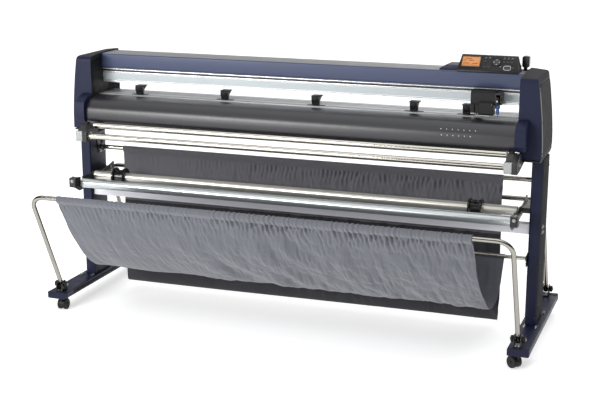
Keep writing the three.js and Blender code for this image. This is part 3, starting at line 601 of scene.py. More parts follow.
def casters():
    """Twin-wheel casters: two round-shouldered treads, a hood over them and a swivel race."""
    for where in CASTER_YAW:
        centre, axle, back = caster_place(where)
        r, inside = CASTER["radius"], CASTER["gap"] / 2
        outside = inside + CASTER["width"]
        hub = centre + back * CASTER["trail"] + Vector((0, 0, r))

        def over_wheel(x, y, z):
            return hub + axle * x + back * -y + Vector((0, 0, z))

        reach = r + 2.5
        half = inside + CASTER["width"] * 0.62
        shield = [*arc(0, 0, reach, -28, 200, 26), *arc(0, 0, r, 200, -28, 26)]
        hood = Build().prism("X", shield, -half, half, warp=over_wheel)
        web = [(reach - 3, -8), (reach - 3, 30), (-9, 30), (-9, -7), (6, -9)]
        hood.prism("X", web, -4.6, 4.6, warp=over_wheel)
        race = [(15, 0), (16, 1), (16, 5), (12, 6.4), (12, 10.6)]
        hood.lathe(race, centre + Vector((0, 0, 52)), "Z", 32)
        hood.lathe([(4.6, -23), (5.2, -22), (5.2, 22), (4.6, 23)], hub, axle, 20)
        piece(hood, f"caster_hood_{where}", f"caster_fork_{where}", BLACK, 0.6, 2,
              f"caster_fork_{where}")
        wheels = Build()
        profile = [(5.6, inside), (r - 5, inside), (r - 1, inside + 1), (r, inside + 3),
                   (r, outside - 3.5), (r - 1.5, outside - 1), (r - 5, outside),
                   (r - 6.5, outside - 1.4), (9, outside - 2.6), (7.5, outside - 0.6),
                   (5.6, outside - 0.6)]
        for hand in HANDS:
            wheels.lathe([(a, b * hand) for a, b in profile], hub, axle, 56)
        piece(wheels, f"caster_treads_{where}", f"caster_wheel_{where}", RUBBER, 0.25, 1,
              f"caster_wheel_{where}")


# ---- baskets -----------------------------------------------------------------------------------


def lean_point(end, along, x=0.0):
    """A point of a basket frame, at a distance along its arms from the pivots."""
    lean = math.radians(ARM_LEAN)
    y = ENDS[end] * PIVOT["y"] - math.sin(lean) * along
    return Vector((x, y, PIVOT["z"] + math.cos(lean) * along))


def basket_frame(end):
    """U-shaped tube with its pivot bolts."""
    x, length, bend = ARM["x"], ARM["length"], ARM["bend"]
    half = [(-x, -ARM["tail"]), (-x, 0), (-x, length - bend - 8)]
    half += arc(-x + bend, length - bend, bend, 180, 90, 14)
    half += [(-x / 2, length), (0, length)]
    whole = half + [(-a, b) for a, b in reversed(half[:-1])]
    tube = Build().tube([lean_point(end, b, a) for a, b in whole], ARM["radius"], 32)
    for side in SIDES.values():
        tube.lathe([(4, -17.5), (4, 17.5)], lean_point(end, 0, side * x), "X", 20)
    body = f"{end}_basket"
    piece(tube, f"{end}_basket_tube", body, CHROME_SHADED, 0, 0, f"{end}_basket_frame")
    ends = Build()
    for side in SIDES.values():
        tail = lean_point(end, -ARM["tail"], side * x)
        along = lean_point(end, 1) - lean_point(end, 0)
        ends.lathe([(10.3, -1.5), (10.6, 0), (10.6, 9)], tail, along, 28)
        for hand in HANDS:
            centre = lean_point(end, 0, side * x + hand * 10.8)
            ends.lathe([(7.4, 0), (7.4, 1.1), (4.1, 1.1)], centre, (hand, 0, 0), 24)
    piece(ends, f"{end}_basket_tips", body, BLACK, 0.4, 2)


def basket_brackets():
    bolts, knobs = Build(), Build()
    knob = [(8, 0), (12, 1), (13.5, 3), (13.5, 11), (11, 13.5), (0, 14)]
    for end_name, end in ENDS.items():
        for side_name, side in SIDES.items():
            keep(f"basket_bracket_{end_name}_{side_name}", BLACK_PAINT, 1.2)
            x, y = side * ARM["x"], end * PIVOT["y"]
            for hand in HANDS:
                knobs.lathe(knob, (x + hand * 16, y, PIVOT["z"]), (hand, 0, 0), 14)
                bolts.hex_bolt((x + hand * 29.8, y, PIVOT["z"]), (hand, 0, 0), 4.2, 2.6)
                foot = (x + hand * 8, y + end * 15, FOOT["top"] + 4.5)
                bolts.hex_bolt(foot, "Z", 3.6, 3.4)
    piece(knobs, "basket_pivot_knobs", "root", BLACK, 0.8, 2)
    piece(bolts, "basket_pivot_bolts", "root", BOLT, 0.4, 2)


SADDLE = [(-14, -34), (56, -34), (56, 6), (16, 22), (-14, 14)]
YOKE = [(-24, -26), (28, -26), (44, 52), (24, 52), (8, 16), (-8, 16), (-24, 52), (-44, 52)]


def fixed_rod(end, middle, radius, outline, bolt_places):
    """A fixed basket rod with its bracket plates, bolted to the posts."""
    y0, z0 = middle
    near, far = ROD_PLATE
    rod = Build().tube([(x, y0, z0) for x in (-ROD_END, 0, ROD_END)], radius, 32)
    piece(rod, f"{end}_basket_rod_tube", "root", CHROME, 0, 0, f"{end}_basket_rod")
    plates, bolts = Build(), Build()
    shape = [(y0 + a, z0 + b) for a, b in outline]
    boss = [(radius + 5, 0), (radius + 5, 2), (radius + 3, 3)]
    for side in SIDES.values():
        plates.prism("X", shape, *sorted((side * near, side * far)))
        plates.lathe(boss, (side * near, y0, z0), (-side, 0, 0), 28)
        for a, b in bolt_places:
            bolts.hex_bolt((side * near, y0 + a, z0 + b), (-side, 0, 0), 4.5, 3.6)
    piece(plates, f"{end}_basket_rod_plates", "root", BLACK_PAINT, 1.0, 2)
    piece(bolts, f"{end}_basket_rod_bolts", "root", BOLT, 0.3, 2)


def teardrop(centre, radius, toward, reach):
    """The section of a rod sleeve: from its seam round the rod and back, as (y, z) points."""
    y, z = centre
    heading = math.atan2(toward[1] - z, toward[0] - y)
    open_half = math.acos(radius / reach)
    seam = (y + reach * math.cos(heading), z + reach * math.sin(heading))
    start = math.degrees(heading + open_half)
    end = math.degrees(heading - open_half) + 360
    return [seam, *arc(y, z, radius, start, end, 22), seam]


class Ripples:
    """Seeded waves over a cloth, each a fold that runs mostly down it."""

    def __init__(self, seed, count, wavelength, tilt):
        draw = random.Random(seed)
        self.waves = []
        for _ in range(count):
            length = draw.uniform(*wavelength)
            self.waves.append((2 * math.pi / length, draw.uniform(*tilt),
                               draw.uniform(0, 2 * math.pi), draw.uniform(0.5, 1.0)))

    def __call__(self, x, s):
        total = np.zeros_like(x)
        for k, tilt, phase, weight in self.waves:
            total += weight * np.sin(k * (x + tilt * s) + phase)
        return total / math.sqrt(len(self.waves))

    def pleats(self, x, s):
        """The same waves with sharp ridges."""
        total = np.zeros_like(x)
        for k, tilt, phase, weight in self.waves:
            total += weight * np.arcsin(0.97 * np.sin(k * (x + tilt * s) + phase)) / 1.33
        return total / math.sqrt(len(self.waves))


class Crumple:
    """Seeded smooth noise over a cloth, with cells longer down the cloth than across it."""

    SIZE = 256
    OCTAVES = 3

    def __init__(self, seed, across, down, lean):
        self.grid = np.random.default_rng(seed).uniform(-1, 1, (self.SIZE, self.SIZE))
        self.across, self.down, self.lean = across, down, lean

    def cell(self, u, v):
        u0, v0 = np.floor(u).astype(int), np.floor(v).astype(int)
        fu, fv = u - u0, v - v0
        fu, fv = fu * fu * (3 - 2 * fu), fv * fv * (3 - 2 * fv)
        u1, v1 = (u0 + 1) % self.SIZE, (v0 + 1) % self.SIZE
        u0, v0 = u0 % self.SIZE, v0 % self.SIZE
        low = self.grid[v0, u0] * (1 - fu) + self.grid[v0, u1] * fu
        high = self.grid[v1, u0] * (1 - fu) + self.grid[v1, u1] * fu
        return low * (1 - fv) + high * fv

    def __call__(self, x, s):
        """Creased hills: the folded noise makes narrow valleys between broad bulges."""
        total = np.zeros_like(x)
        for k in range(self.OCTAVES):
            u = (x + self.lean * s) / self.across * 2**k + 31.7 * k
            v = s / self.down * 2**k + 11.3 * k
            total += (2 * np.abs(self.cell(u, v)) - 0.7) / 1.7**k
        return total


def widths(x, s, knots):
    """How far to move the right half along X, so that its edge follows (s, half width) knots."""
    half = x.max()
    wanted = np.interp(s, [k[0] for k in knots], [k[1] for k in knots])
    return np.clip(x / half, 0, 1) * (wanted - half)


def cloth_grid(name, line, half, shift, paint, columns):
    """A sheet swept along X from a (y, z) line, moved by shift along its normal and X."""
    rows = len(line)
    normal = normals(line)
    length = line_length(line)
    s = np.linspace(0, length, rows)[:, None] * np.ones((1, columns))
    x = np.linspace(-half, half, columns)[None, :] * np.ones((rows, 1))
    out, along = shift(x, s, length)
    y = line[:, 0][:, None] + normal[:, 0][:, None] * out
    z = line[:, 1][:, None] + normal[:, 1][:, None] * out
    points = np.stack([(x + along) * MM, MID_Y + y * MM, z * MM], axis=2).reshape(-1, 3)
    index = np.arange(rows * columns).reshape(rows, columns)
    quads = np.stack([index[:-1, :-1], index[:-1, 1:], index[1:, 1:], index[1:, :-1]], axis=2)
    mesh = bpy.data.meshes.new(name)
    mesh.from_pydata(points.tolist(), [], quads.reshape(-1, 4).tolist())
    flat = np.stack([x * MM, s * MM], axis=2).reshape(-1, 2)
    layer = mesh.uv_layers.new(name="flat")
    corners = np.zeros(len(mesh.loops), np.int32)
    mesh.loops.foreach_get("vertex_index", corners)
    layer.data.foreach_set("uv", flat[corners].astype(np.float32).ravel())
    for polygon in mesh.polygons:
        polygon.use_smooth = True
    mesh.materials.append(paint)
    return place(name, mesh)


def ease(value, low, high):
    t = np.clip((value - low) / (high - low), 0, 1)
    return t * t * (3 - 2 * t)


def bell(value, middle, reach):
    return np.exp(-(((value - middle) / reach) ** 2))


def fade(value, reach):
    """1 up to zero, then dying away."""
    return np.exp(-np.clip(value, 0, None) / reach)


def cloth_line(fixed, hang, moving, size):
    """A cloth's section: round its fixed rod, down its hang and up round its moving tube."""
    free = smooth_line([fixed[-1], *hang, moving[0]], size["fine"])
    return even_line([*fixed[:-1], *free, *moving[1:]], size["rows"])


def hang_cloth(end, line, size, shift, paint):
    """Sweeps a basket's cloth along its section, round its fixed rod and its moving tube, and gives
    it thickness.
    """
    cloth = cloth_grid(f"{end}_cloth_sheet", line, size["half"], shift, paint, size["columns"])
    modifier = cloth.modifiers.new("cloth", "SOLIDIFY")
    modifier.thickness = CLOTH_THICKNESS * MM
    modifier.offset = 0
    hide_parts(f"{end}_basket_cloth")
    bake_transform(cloth)


# How deep each kind of relief is, and the points round a section and the columns across.
FRONT_CLOTH = {"half": 902, "pleat": 7.5, "sleeve": 2.4, "hem": 1.5, "crumple": 3.2, "crease": 6.0,
               "slack": 4.0, "drape": 5.5, "pull": 18, "fine": 170, "rows": 250, "columns": 900}
REAR_CLOTH = {"half": 888, "pleat": 6.0, "crumple": 3.6, "crease": 9.0, "bulge": 12, "fine": 230,
              "rows": 300, "columns": 760}


def front_cloth():
    """Cloth of the front basket: hung behind its fixed rod, gathered on a sleeve in front."""
    size = FRONT_CLOTH
    half = size["half"]
    top = lean_point("front", ARM["length"])
    fixed = arc(*FRONT_ROD, 9.2, 105, -75, 12)
    moving = teardrop((top.y, top.z), SLEEVE, (-535, 520), 25)
    hang = [(-84, 318), (-104, 262), (-138, 216), (-208, 197), (-292, 219), (-398, 302),
            (-478, 402), (-528, 505)]
    line = cloth_line(fixed, hang, moving, size)
    sleeve_low, sleeve_high = line_length(fixed), line_length(moving)
    gathers = Ripples(11, 9, (14, 30), (-0.35, 0.35))
    crumple = Crumple(12, 40, 105, 0.08)
    creases = Crumple(14, 125, 200, 0.22)
    slack = Ripples(13, 5, (260, 620), (-0.2, 0.6))
    drapes = Ripples(16, 4, (120, 260), (0.6, 1.0))

    def shift(x, s, length):
        seam = length - sleeve_high
        from_fixed = s - sleeve_low
        from_moving = seam - s
        near = np.minimum(from_fixed, from_moving)
        rightness = 0.42 + 0.58 * ease(x, -850, 300)
        flat_low = 1 - 0.8 * bell(s, 230, 150)
        pleat = np.clip(gathers.pleats(x, np.minimum(s, seam)), -1, 1)
        on_sleeve = ease(s, seam, seam + 6)
        under_hem = (1 - on_sleeve) * fade(from_moving - 16, 34)
        out = size["pleat"] * pleat * under_hem * rightness
        out -= size["sleeve"] * (1 + pleat) * on_sleeve * rightness
        out += size["hem"] * gathers(x, s) * fade(from_fixed, 40)
        body = ease(near, 4, 60) * rightness * flat_low
        out += size["crumple"] * crumple(x, s) * body
        out += size["crease"] * creases(x, s) * body
        out += size["slack"] * slack(x, s) * ease(near, 0, 160) * flat_low
        out += size["drape"] * drapes(x, s) * ease(near, 20, 150) * flat_low * bell(x, 60, 420)
        reach = length - sleeve_high - sleeve_low
        pull = size["pull"] * np.sin(math.pi * np.clip(from_fixed / reach, 0, 1))
        along = ease(-x, half - 260, half) * pull
        along += widths(x, s, ((0, 914), (230, 902), (length, 876)))
        return out, along

    hang_cloth("front", line, size, shift, CLOTH_LIGHT)


def rear_cloth():
    """Cloth of the rear basket: a deep narrow loop between its two rods."""
    size = REAR_CLOTH
    half = size["half"]
    top = lean_point("rear", ARM["length"])
    fixed = teardrop(REAR_ROD, SLEEVE, (22, 600), 22)
    moving = teardrop((top.y, top.z), SLEEVE, (146, 480), 24)
    hang = [(23, 620), (21, 460), (19, 300), (18, 150), (19, 78), (24, 52), (38, 46), (70, 52),
            (116, 80), (142, 190), (150, 390)]
    line = cloth_line(fixed, hang, moving, size)
    sleeve_low, sleeve_high = line_length(fixed), line_length(moving)
    lowest = line_length(line[: int(np.argmin(line[:, 1])) + 1])
    gathers = Ripples(21, 9, (16, 34), (-0.3, 0.3))
    crumple = Crumple(22, 70, 130, 0.1)
    creases = Crumple(24, 150, 260, -0.2)

    def shift(x, s, length):
        from_fixed = s - sleeve_low
        from_moving = length - sleeve_high - s
        near = np.minimum(from_fixed, from_moving)
        rightness = 0.25 + 0.75 * ease(x, -750, 300)
        pleat = np.clip(gathers.pleats(x, s), -1, 1)
        hem = ease(near, -2, 10) * fade(near - 26, 30)
        flat_low = 1 - bell(s, lowest, 70)
        out = size["pleat"] * pleat * hem * rightness
        relief = size["crumple"] * crumple(x, s) + size["crease"] * creases(x, s)
        out += relief * ease(near, 4, 70) * rightness * flat_low
        out += size["bulge"] * ease(x, -half, half) * bell(s, lowest, 60)
        along = widths(x, s, ((0, 877), (lowest, 875), (lowest + 90, 863), (length, 845)))
        return out, along

    hang_cloth("rear", line, size, shift, CLOTH_DARK)


# ---- roll stock holders ------------------------------------------------------------------------


def pipes():
    for name, (y, z), radius, paint in (
        ("front_pipe", FRONT_PIPE, 21, ZINC),
        ("feed_shaft", FEED_SHAFT, 20, ZINC_WARM),
    ):
        tube = Build()
        half = [(0, PIPE_END), (radius - 2, PIPE_END), (radius, PIPE_END - 2)]
        profile = [(a, -b) for a, b in half] + half[::-1]
        tube.lathe(profile, (0, y, z), "X", 56)
        piece(tube, f"{name}_tube", name, paint, 0, 0, name)
        ends = Build()
        stub = [(radius - 3, 965), (radius - 3, 966.6), (10, 966.8), (10, 975), (9, 976), (6, 976),
                (6, 971), (0, 971)]
        for side in SIDES.values():
            ends.lathe([(a, b * side) for a, b in stub], (0, y, z), "X", 40)
        piece(ends, f"{name}_stubs", name, BLACK, 0.4, 2)


def flanges():
    """Spools that lock on the feed shaft: a ribbed hub between two rims, and a thumbscrew."""
    y, z = FEED_SHAFT
    ribs = 12
    half = [(20.6, 28), (24, 28), (25, 26.5), (38.5, 26.5), (40, 28), (41, 27), (41, 20.5),
            (39.5, 19), (31.5, 19), (30, 17)]
    profile = half + [(a, -b) for a, b in reversed(half)] + [half[0]]
    for side_name, x in FLANGE_X.items():
        spool = Build().lathe([(a, x + b) for a, b in profile], (0, y, z), "X", 64)
        for k in range(ribs):
            t = 2 * math.pi * k / ribs
            rib = Vector((0, math.cos(t), math.sin(t)))
            spool.lathe([(1.8, -17), (1.8, 17)], Vector((x, y, z)) + rib * 30.4, "X", 10)
            for hand in HANDS:
                centre = Vector((x + hand * 26.5, y, z)) + rib * 32
                spool.lathe([(2.6, -0.5), (2.6, 0.9), (1.8, 1.5)], centre, (hand, 0, 0), 16)
        spool.lathe([(5, 27), (5, 36), (8, 36.5), (8, 40), (6, 41)], (x, y, z), (0, -0.5, 0.86), 10)
        piece(spool, f"flange_spool_{side_name}", "feed_shaft", BLACK_GLOSS, 0.35, 2,
              f"flange_{side_name}")


def pipe_brackets():
    for side_name, side in SIDES.items():
        keep(f"pipe_bracket_{side_name}", BLACK_PAINT, 0.9)
        extra = Build()
        bearing = [(6, -1), (6.5, -0.4), (6.5, 7), (6, 7.8)]
        for y, z in (FRONT_PIPE, FEED_SHAFT):
            for dy in (-17, 17):
                centre = (side * (BRACKET_X + 6), y + dy, z - 13)
                extra.lathe(bearing, centre, (side, 0, 0), 24)
        for y, z in ((-40, 566), (-40, 582), (40, 570), (40, 590)):
            extra.hex_bolt((side * BRACKET_X, y, z), (-side, 0, 0), 4.6, 4)
        extra.hex_bolt((side * (BRACKET_X + 15), -290, 588), (0, -1, 0), 5, 4)
        extra.hex_bolt((side * (BRACKET_X + 20), -274, 602), "Z", 4.6, 4)
        piece(extra, f"pipe_bracket_bolts_{side_name}", "root", BOLT, 0.3, 2)


# ---- cutter head -------------------------------------------------------------------------------


def guide_rods():
    """Guide rods with, at each end, a cast block on the left of the dark arm that holds it."""
    left, right = GUIDE_ARM["left"] + 22.6, GUIDE_ARM["right"] - 32.9
    for name, (y, z) in GUIDE_RODS.items():
        rod = Build().tube([(x, y, z) for x in (left, 0, right)], GUIDE_ROD_RADIUS, 48)
        piece(rod, f"guide_rod_tube_{name}", "root", CHROME, 0.5, 2, f"guide_rod_{name}")
    for side_name, side in SIDES.items():
        block = GUIDE_ARM[side_name] - 0.3
        lower = Build().prism("X", rounded(-275, -229, 768, 814, 3), block - GUIDE_BLOCK, block)
        piece(lower, f"guide_end_block_{side_name}", "root", CAST, 1.6, 3,
              f"guide_end_{side_name}")
        outline = [(-228.6, 772), (-189, 813), (-189, 838), (-223, 838), (-262, 814.4),
                   (-228.6, 814.4)]
        upper = Build().prism("X", outline, block - 29, block - 1)
        piece(upper, f"guide_end_clamp_{side_name}", "root", BLACK_PAINT, 1.6, 3)
        hardware = Build()
        collar, hand = (left - 0.4, 1) if side < 0 else (block - GUIDE_BLOCK, -1)
        r = GUIDE_ROD_RADIUS + 2.5
        for y, z in GUIDE_RODS.values():
            hardware.lathe([(r, 0), (r, 3), (r - 1.5, 4)], (collar, y, z), (hand, 0, 0), 40)
        hardware.hex_bolt((block + 11, -204, 838), "Z", 6, 6)
        hardware.hex_bolt((block + 11, -262, 812), "Z", 5, 4)
        hardware.hex_bolt((block + 22.3, -240, 800), (1, 0, 0), 6, 5)
        piece(hardware, f"guide_end_hardware_{side_name}", "root", BOLT, 0.4, 2)
        plate = Build().box((block - 27, block - 5), (-262, -236), (814, 817))
        plate.prism("Z", rounded(block - 26, block - 4, -216, -192, 3), 838, 843)
        piece(plate, f"guide_end_plate_{side_name}", "root", BLACK_PAINT, 0.8, 2)


def side_frames():
    for side_name in SIDES:
        keep(f"side_frame_{side_name}", BLACK_PAINT, 1.2)


def cover_x(z):
    """How far out the side cover's outer face stands at a height."""
    curve = smooth_line(COVER_SIDE, 60)
    return float(np.interp(z, curve[:, 1], curve[:, 0]))


def overlap(first, second):
    """The mesh that two builds have in common, in row-frame metres."""
    objects = [place(f"tmp{i}", build.mesh(f"tmp{i}")) for i, build in enumerate((first, second))]
    modifier = objects[0].modifiers.new("overlap", "BOOLEAN")
    modifier.object = objects[1]
    modifier.operation = "INTERSECT"
    modifier.solver = "EXACT"
    graph = bpy.context.evaluated_depsgraph_get()
    mesh = bpy.data.meshes.new_from_object(objects[0].evaluated_get(graph))
    for obj in objects:
        bpy.data.objects.remove(obj)
    return mesh


def side_covers():
    """Curved end covers: navy in front, grey on top and outside, black where they face in."""
    front, rear, bottom, top, inner = COVER.values()
    curve = [tuple(p) for p in smooth_line(COVER_SIDE, 18)]
    face = [(inner, bottom), *curve, (1022, 1126), (inner, top)]
    lip = arc(front + 24, 1103, 24, 180, 112, 8)
    profile = [(front, bottom), *lip, (-50, 1131.5), (40, top), (rear - 10, top),
               *arc(rear - 10, top - 10, 10, 90, 0, 4), (rear, bottom)]
    for side_name, side in SIDES.items():
        front_view = Build().prism("Y", [(side * a, b) for a, b in face], -160, 160)
        side_view = Build().prism("X", profile, *sorted((side * 900, side * 1100)))
        name = f"side_cover_shell_{side_name}"
        mesh = overlap(front_view, side_view)
        mesh.name = name
        for paint in (NAVY_SATIN, GREY_SHELL, BLACK_SATIN):
            mesh.materials.append(paint)
        for polygon in mesh.polygons:
            normal = polygon.normal
            if normal.x * side < -0.7:
                polygon.material_index = 2
            elif normal.y < -0.55:
                polygon.material_index = 0
            else:
                polygon.material_index = 1
        obj = place(name, mesh)
        shade(mesh, 30)
        add_bevel(obj, 3.5, 4, 30)
        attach(obj, "root")
        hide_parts(f"side_cover_{side_name}")
        cover_trim(side_name, side)
        nose(side_name, side)


def cover_trim(side_name, side):
    """Raised outer panel with a dark joint round it and a pale strip in front of it."""

    def on_side(offset, y, z):
        return Vector((side * (cover_x(z) + offset), y, z))

    outline = even_ring(rounded(-98, 126, 818, 1098, 22, 8), 90)
    panel = Build().prism("X", outline[:-1], -2, 2.2, warp=on_side)
    piece(panel, f"side_cover_panel_{side_name}", "root", GREY_SHELL, 1.4, 3)
    ring = even_ring(rounded(-101.5, 129.5, 814.5, 1101.5, 25, 8), 120)
    joint = Build().tube([on_side(0.4, y, z) for y, z in ring], 2.0, 10)
    piece(joint, f"side_cover_joint_{side_name}", "root", BLACK)
    outline = even_ring(rounded(-123, -108, 812, 1090, 6, 5), 70)
    strip = Build().prism("X", outline[:-1], -1, 1.6, warp=on_side)
    piece(strip, f"side_cover_strip_{side_name}", "root", GREY_TRIM, 0.7, 2)
    screws = Build()
    for z in (824, 951, 1078):
        screws.dome_screw(on_side(1.6, -115.5, z), (side, 0, 0), 4.2)
    piece(screws, f"side_cover_screws_{side_name}", "root", BLACK_GLOSS, 0.2, 1)


def nose(side_name, side):
    """Faceted nose that closes the end of the front cover."""
    outline = [(-128, 962), (-172, 952), (-200, 932), (-207, 912), (-207, 862), (-196, 842),
               (-128, 840)]
    x = sorted((side * COVER["inner"], side * 1000))
    build = Build().prism("X", outline, *x)
    piece(build, f"cover_nose_{side_name}", "root", NAVY_SATIN, 2.4, 3)


def top_beam():
    front, rear, bottom, top = TOP_BEAM.values()
    outline = [*arc(rear - 5, bottom + 5, 5, 270, 360, 4), *arc(rear - 5, top - 5, 5, 0, 90, 4),
               *arc(front + 7, top - 7, 7, 90, 180, 6), *arc(front + 3, bottom + 3, 3, 180, 270, 3)]
    build = Build().prism("X", outline, *UNIT_SPAN)
    beam = piece(build, "top_beam_body", "root", [NAVY_BEAM, BEAM_TOP_REFLECTION], 0.3, 1, "top_beam")
    # Faces that look up get the light grey: painted reflection of the light overhead.
    repaint(beam.data, 1, lambda face: face.normal.z > 0.8)
    seam = Build().box(UNIT_SPAN, (front - 0.4, front + 2), (bottom + 5, bottom + 6.4))
    piece(seam, "top_beam_seam", "root", BLACK)


def rail():
    """Carriage rail: two bright ridges, a pale flat strip and a lower lip."""
    front, rear, bottom, top = RAIL.values()
    profile = [(rear, bottom), (front + 4, bottom), (front + 4, bottom + 3), (front, bottom + 4),
               (front, bottom + 9), (front + 5, bottom + 11), (front + 5, bottom + 44),
               *arc(front + 3, bottom + 48, 3, 250, 110, 5), (front + 4, bottom + 53),
               (front + 4, bottom + 57), *arc(front + 3, bottom + 61, 3, 250, 130, 5),
               (front + 2, top), (rear, top)]
    body = Build().prism("X", profile, *UNIT_SPAN)
    piece(body, "rail_extrusion", "root", ALUMINIUM_BRIGHT, 0.3, 1, "rail")
    strip = Build().box(UNIT_SPAN, (front + 4, front + 5.5), (bottom + 13, bottom + 42))
    piece(strip, "rail_face_strip", "root", STRIP, 0.3, 1)
    belt = Build().box(UNIT_SPAN, (front + 1, front + 4.4), (bottom + 53.6, bottom + 56.4))
    piece(belt, "rail_belt", "root", BLACK)


def platen():
    keep("platen", ALUMINIUM, 0.6)
    strips = Build()
    for y0, y1 in ((-47, -43.5), (12, 13.2), (44, 45.2)):
        strips.box((-950, 950), (y0, y1), (PLATEN_TOP - 0.4, PLATEN_TOP + 0.5))
    for x in ROLLER_X:
        strips.box((x - 40, x + 40), (-43, -17), (PLATEN_TOP - 0.3, PLATEN_TOP + 0.35))
    piece(strips, "platen_strips", "root", BLACK, 0.1, 1)
    keep("chassis", ALUMINIUM, 1)


def front_cover():
    """Smooth curved skin in front of the bed, with two rows of small pale marks on it."""
    curve = [(-68, 947), (-112, 946), (-151, 936), (-179, 909), (-187, 878), (-184, 850),
             (-172, 836)]
    line = smooth_line(curve, 60)
    normal = -normals(line)
    half_thick, pitch = 1.6, 23.5
    outer, inner = line + normal * half_thick, line - normal * half_thick
    skin = Build().prism("X", [*map(tuple, outer), *map(tuple, inner[::-1])], *UNIT_SPAN)
    piece(skin, "front_cover_skin", "root", CHARCOAL, 0.5, 2, "front_cover", angle=40)
    marks = Build()
    for at, count, x0 in ((35, 7, 655), (42, 6, 660)):
        y, z = line[at]
        out = Vector((0, *normal[at])).normalized()
        for k in range(count):
            centre = Vector((x0 + pitch * k, y, z)) + out * 1.5
            marks.lathe([(2.1, -0.5), (2.1, 0.5), (1.6, 0.8)], centre, out, 16)
    piece(marks, "front_cover_marks", "root", PALE)


def rear_parts():
    keep("rear_cover", CHARCOAL, 0.6, merge=False)
    keep("power_inlet", BLACK, 1)
    pins = Build()
    for x, z in ((853, 880), (867, 880), (860, 886)):
        pins.box((x - 1.1, x + 1.1), (120, 131), (z - 3, z + 3))
    piece(pins, "power_inlet_pins", "root", BOLT, 0.2, 1)
    for name in ("feed_motor", "carriage_motor"):
        keep(name, BLACK_PAINT, 0.8)
    vents = Build()
    for x in range(-820, -628, 12):
        vents.box((x, x + 5), (131.2, 133.2), (864, 900))
    piece(vents, "rear_vents", "root", BLACK, 0.4, 1)


def drive_shaft():
    end, middle = DRIVE_END, (0, *DRIVE)
    shaft = Build().lathe([(0, -end), (6, -end), (6, end), (0, end)], middle, "X", 32)
    shaft.lathe([(12, end - 8), (12, end)], middle, "X", 40)
    piece(shaft, "drive_shaft_bar", "drive_shaft", BOLT, 0.3, 1, "drive_shaft")
    drums = Build()
    for x in ROLLER_X:
        drums.lathe([(11, x - 15), (12, x - 14), (12, x + 14), (11, x + 15)], middle, "X", 56)
    piece(drums, "drive_drums", "drive_shaft", GRIT)


def push_rollers():
    """Pinch rollers: a wedge-shaped arm that slopes forward and down to a wheel on its pin."""
    wedge = [(5, 984), (5, 990.5), (-42, 991), (-49, 986), (-49, 976), (-46, 968), (-40, 962),
             (-26, 966)]
    cheek = [(-44, 972), (-40, 955), (-34, 952.6), (-26, 952.6), (-21.5, 957), (-18, 972)]
    tread = [(2.5, -11), (6.2, -11), (7, -10), (7, -1.5), (6.4, 0), (7, 1.5), (7, 10), (6.2, 11),
             (2.5, 11)]
    coil_turns, coil_steps, coil_radius = 6, 16, 2.2
    for i, x in enumerate(ROLLER_X, 1):
        body = f"push_roller_{i}"
        arm = Build().prism("X", wedge, x - 15, x + 15)
        arm.box((x - 21, x + 21), (-38, 4), (987.5, 991.5))
        for hand in HANDS:
            arm.prism("X", cheek, *sorted((x + hand * 12, x + hand * 15.5)))
        arm.box((x - 9, x + 9), (-53, -48.5), (976, 988))
        piece(arm, f"push_roller_arm_{i}", body, BLACK, 0.8, 2, body)
        wheel = Build().lathe(tread, (x, *ROLLER_PIN), "X", 40)
        piece(wheel, f"push_roller_wheel_{i}", body, RUBBER, 0.2, 1)
        pins = Build().lathe([(2.4, -17.5), (2.4, 17.5)], (x, *ROLLER_PIN), "X", 16)
        coil = []
        for k in range(coil_turns * coil_steps + 1):
            t = 2 * math.pi * k / coil_steps
            coil.append((x + 17.4 + coil_radius * math.cos(t), -36 + coil_radius * math.sin(t),
                         964 + 0.16 * k))
        pins.tube(coil, 0.6, 8)
        for hand in HANDS:
            pins.dome_screw((x + hand * 12, -20, 991.4), "Z", 3)
        pins.dome_screw((x + 15, -28, 979), "X", 3)
        piece(pins, f"push_roller_pins_{i}", body, BOLT)


def carriage():
    """Cutting carriage: a tall shell over the rail, a plug block and the tool's slide beside it."""
    x = CARRIAGE_X
    profile = [(-25.3, 1004), (-25.3, 1052), *arc(-35, 1051, 10, 0, 90, 5),
               *arc(-88, 1049, 12, 90, 170, 6), (-101, 1004)]
    shell = Build().prism("X", profile, x - 50, x + 49)
    piece(shell, "carriage_shell", "carriage", BLACK, 2.2, 3, "carriage")
    profile = [(-71, 966), (-71, 1020), (-104, 1020), *arc(-110, 1012, 6, 60, 180, 4),
               (-115, 972), (-111, 966)]
    head = Build().prism("X", profile, x - 14, x + 46)
    head.prism("X", [(-71, 976), (-71, 1010), (-98, 1010), (-98, 976)], x - 44, x - 12)
    piece(head, "carriage_head", "carriage", BLACK, 1.6, 3)
    plugs = Build()
    for k in range(2):
        x0 = x - 47 + 19 * k
        plugs.box((x0, x0 + 15), (-112, -84), (974, 1008))
        for j in range(4):
            plugs.box((x0 + 2, x0 + 13), (-114, -111), (977 + 8 * j, 980.5 + 8 * j))
    piece(plugs, "carriage_plugs", "carriage", GREY_SIDE, 0.5, 2)
    bright = Build()
    for k in range(4):
        bright.box((x - 46 + 9 * k, x - 43 + 9 * k), (-113, -111.6), (969, 973))
    bright.dome_screw((x + 38, -115, 1010), (0, -1, 0), 2.4)
    bright.box((x - 30, x + 30), (-110, -84), (962.4, 965.4))
    for y, z in ((-86, 1040), (-60, 1024), (-92, 1018)):
        bright.dome_screw((x + 72, y, z), (1, 0, 0), 3)
    bright.box((x + 52, x + 70), (-76.5, -75), (1030, 1034))
    piece(bright, "carriage_bright", "carriage", BOLT, 0.3, 1)
    slide = Build().box((x + 49, x + 72), (-74, -34), (1004, 1052))
    slide.prism("X", rounded(-106, -36, 1048, 1056, 3), x + 49, x + 71)
    slide.box((x + 49, x + 54), (-104, -74), (1010, 1050))
    slide.box((x + 68, x + 71), (-96, -74), (1014, 1046))
    piece(slide, "carriage_slide", "carriage", BLACK_PAINT, 0.8, 2)


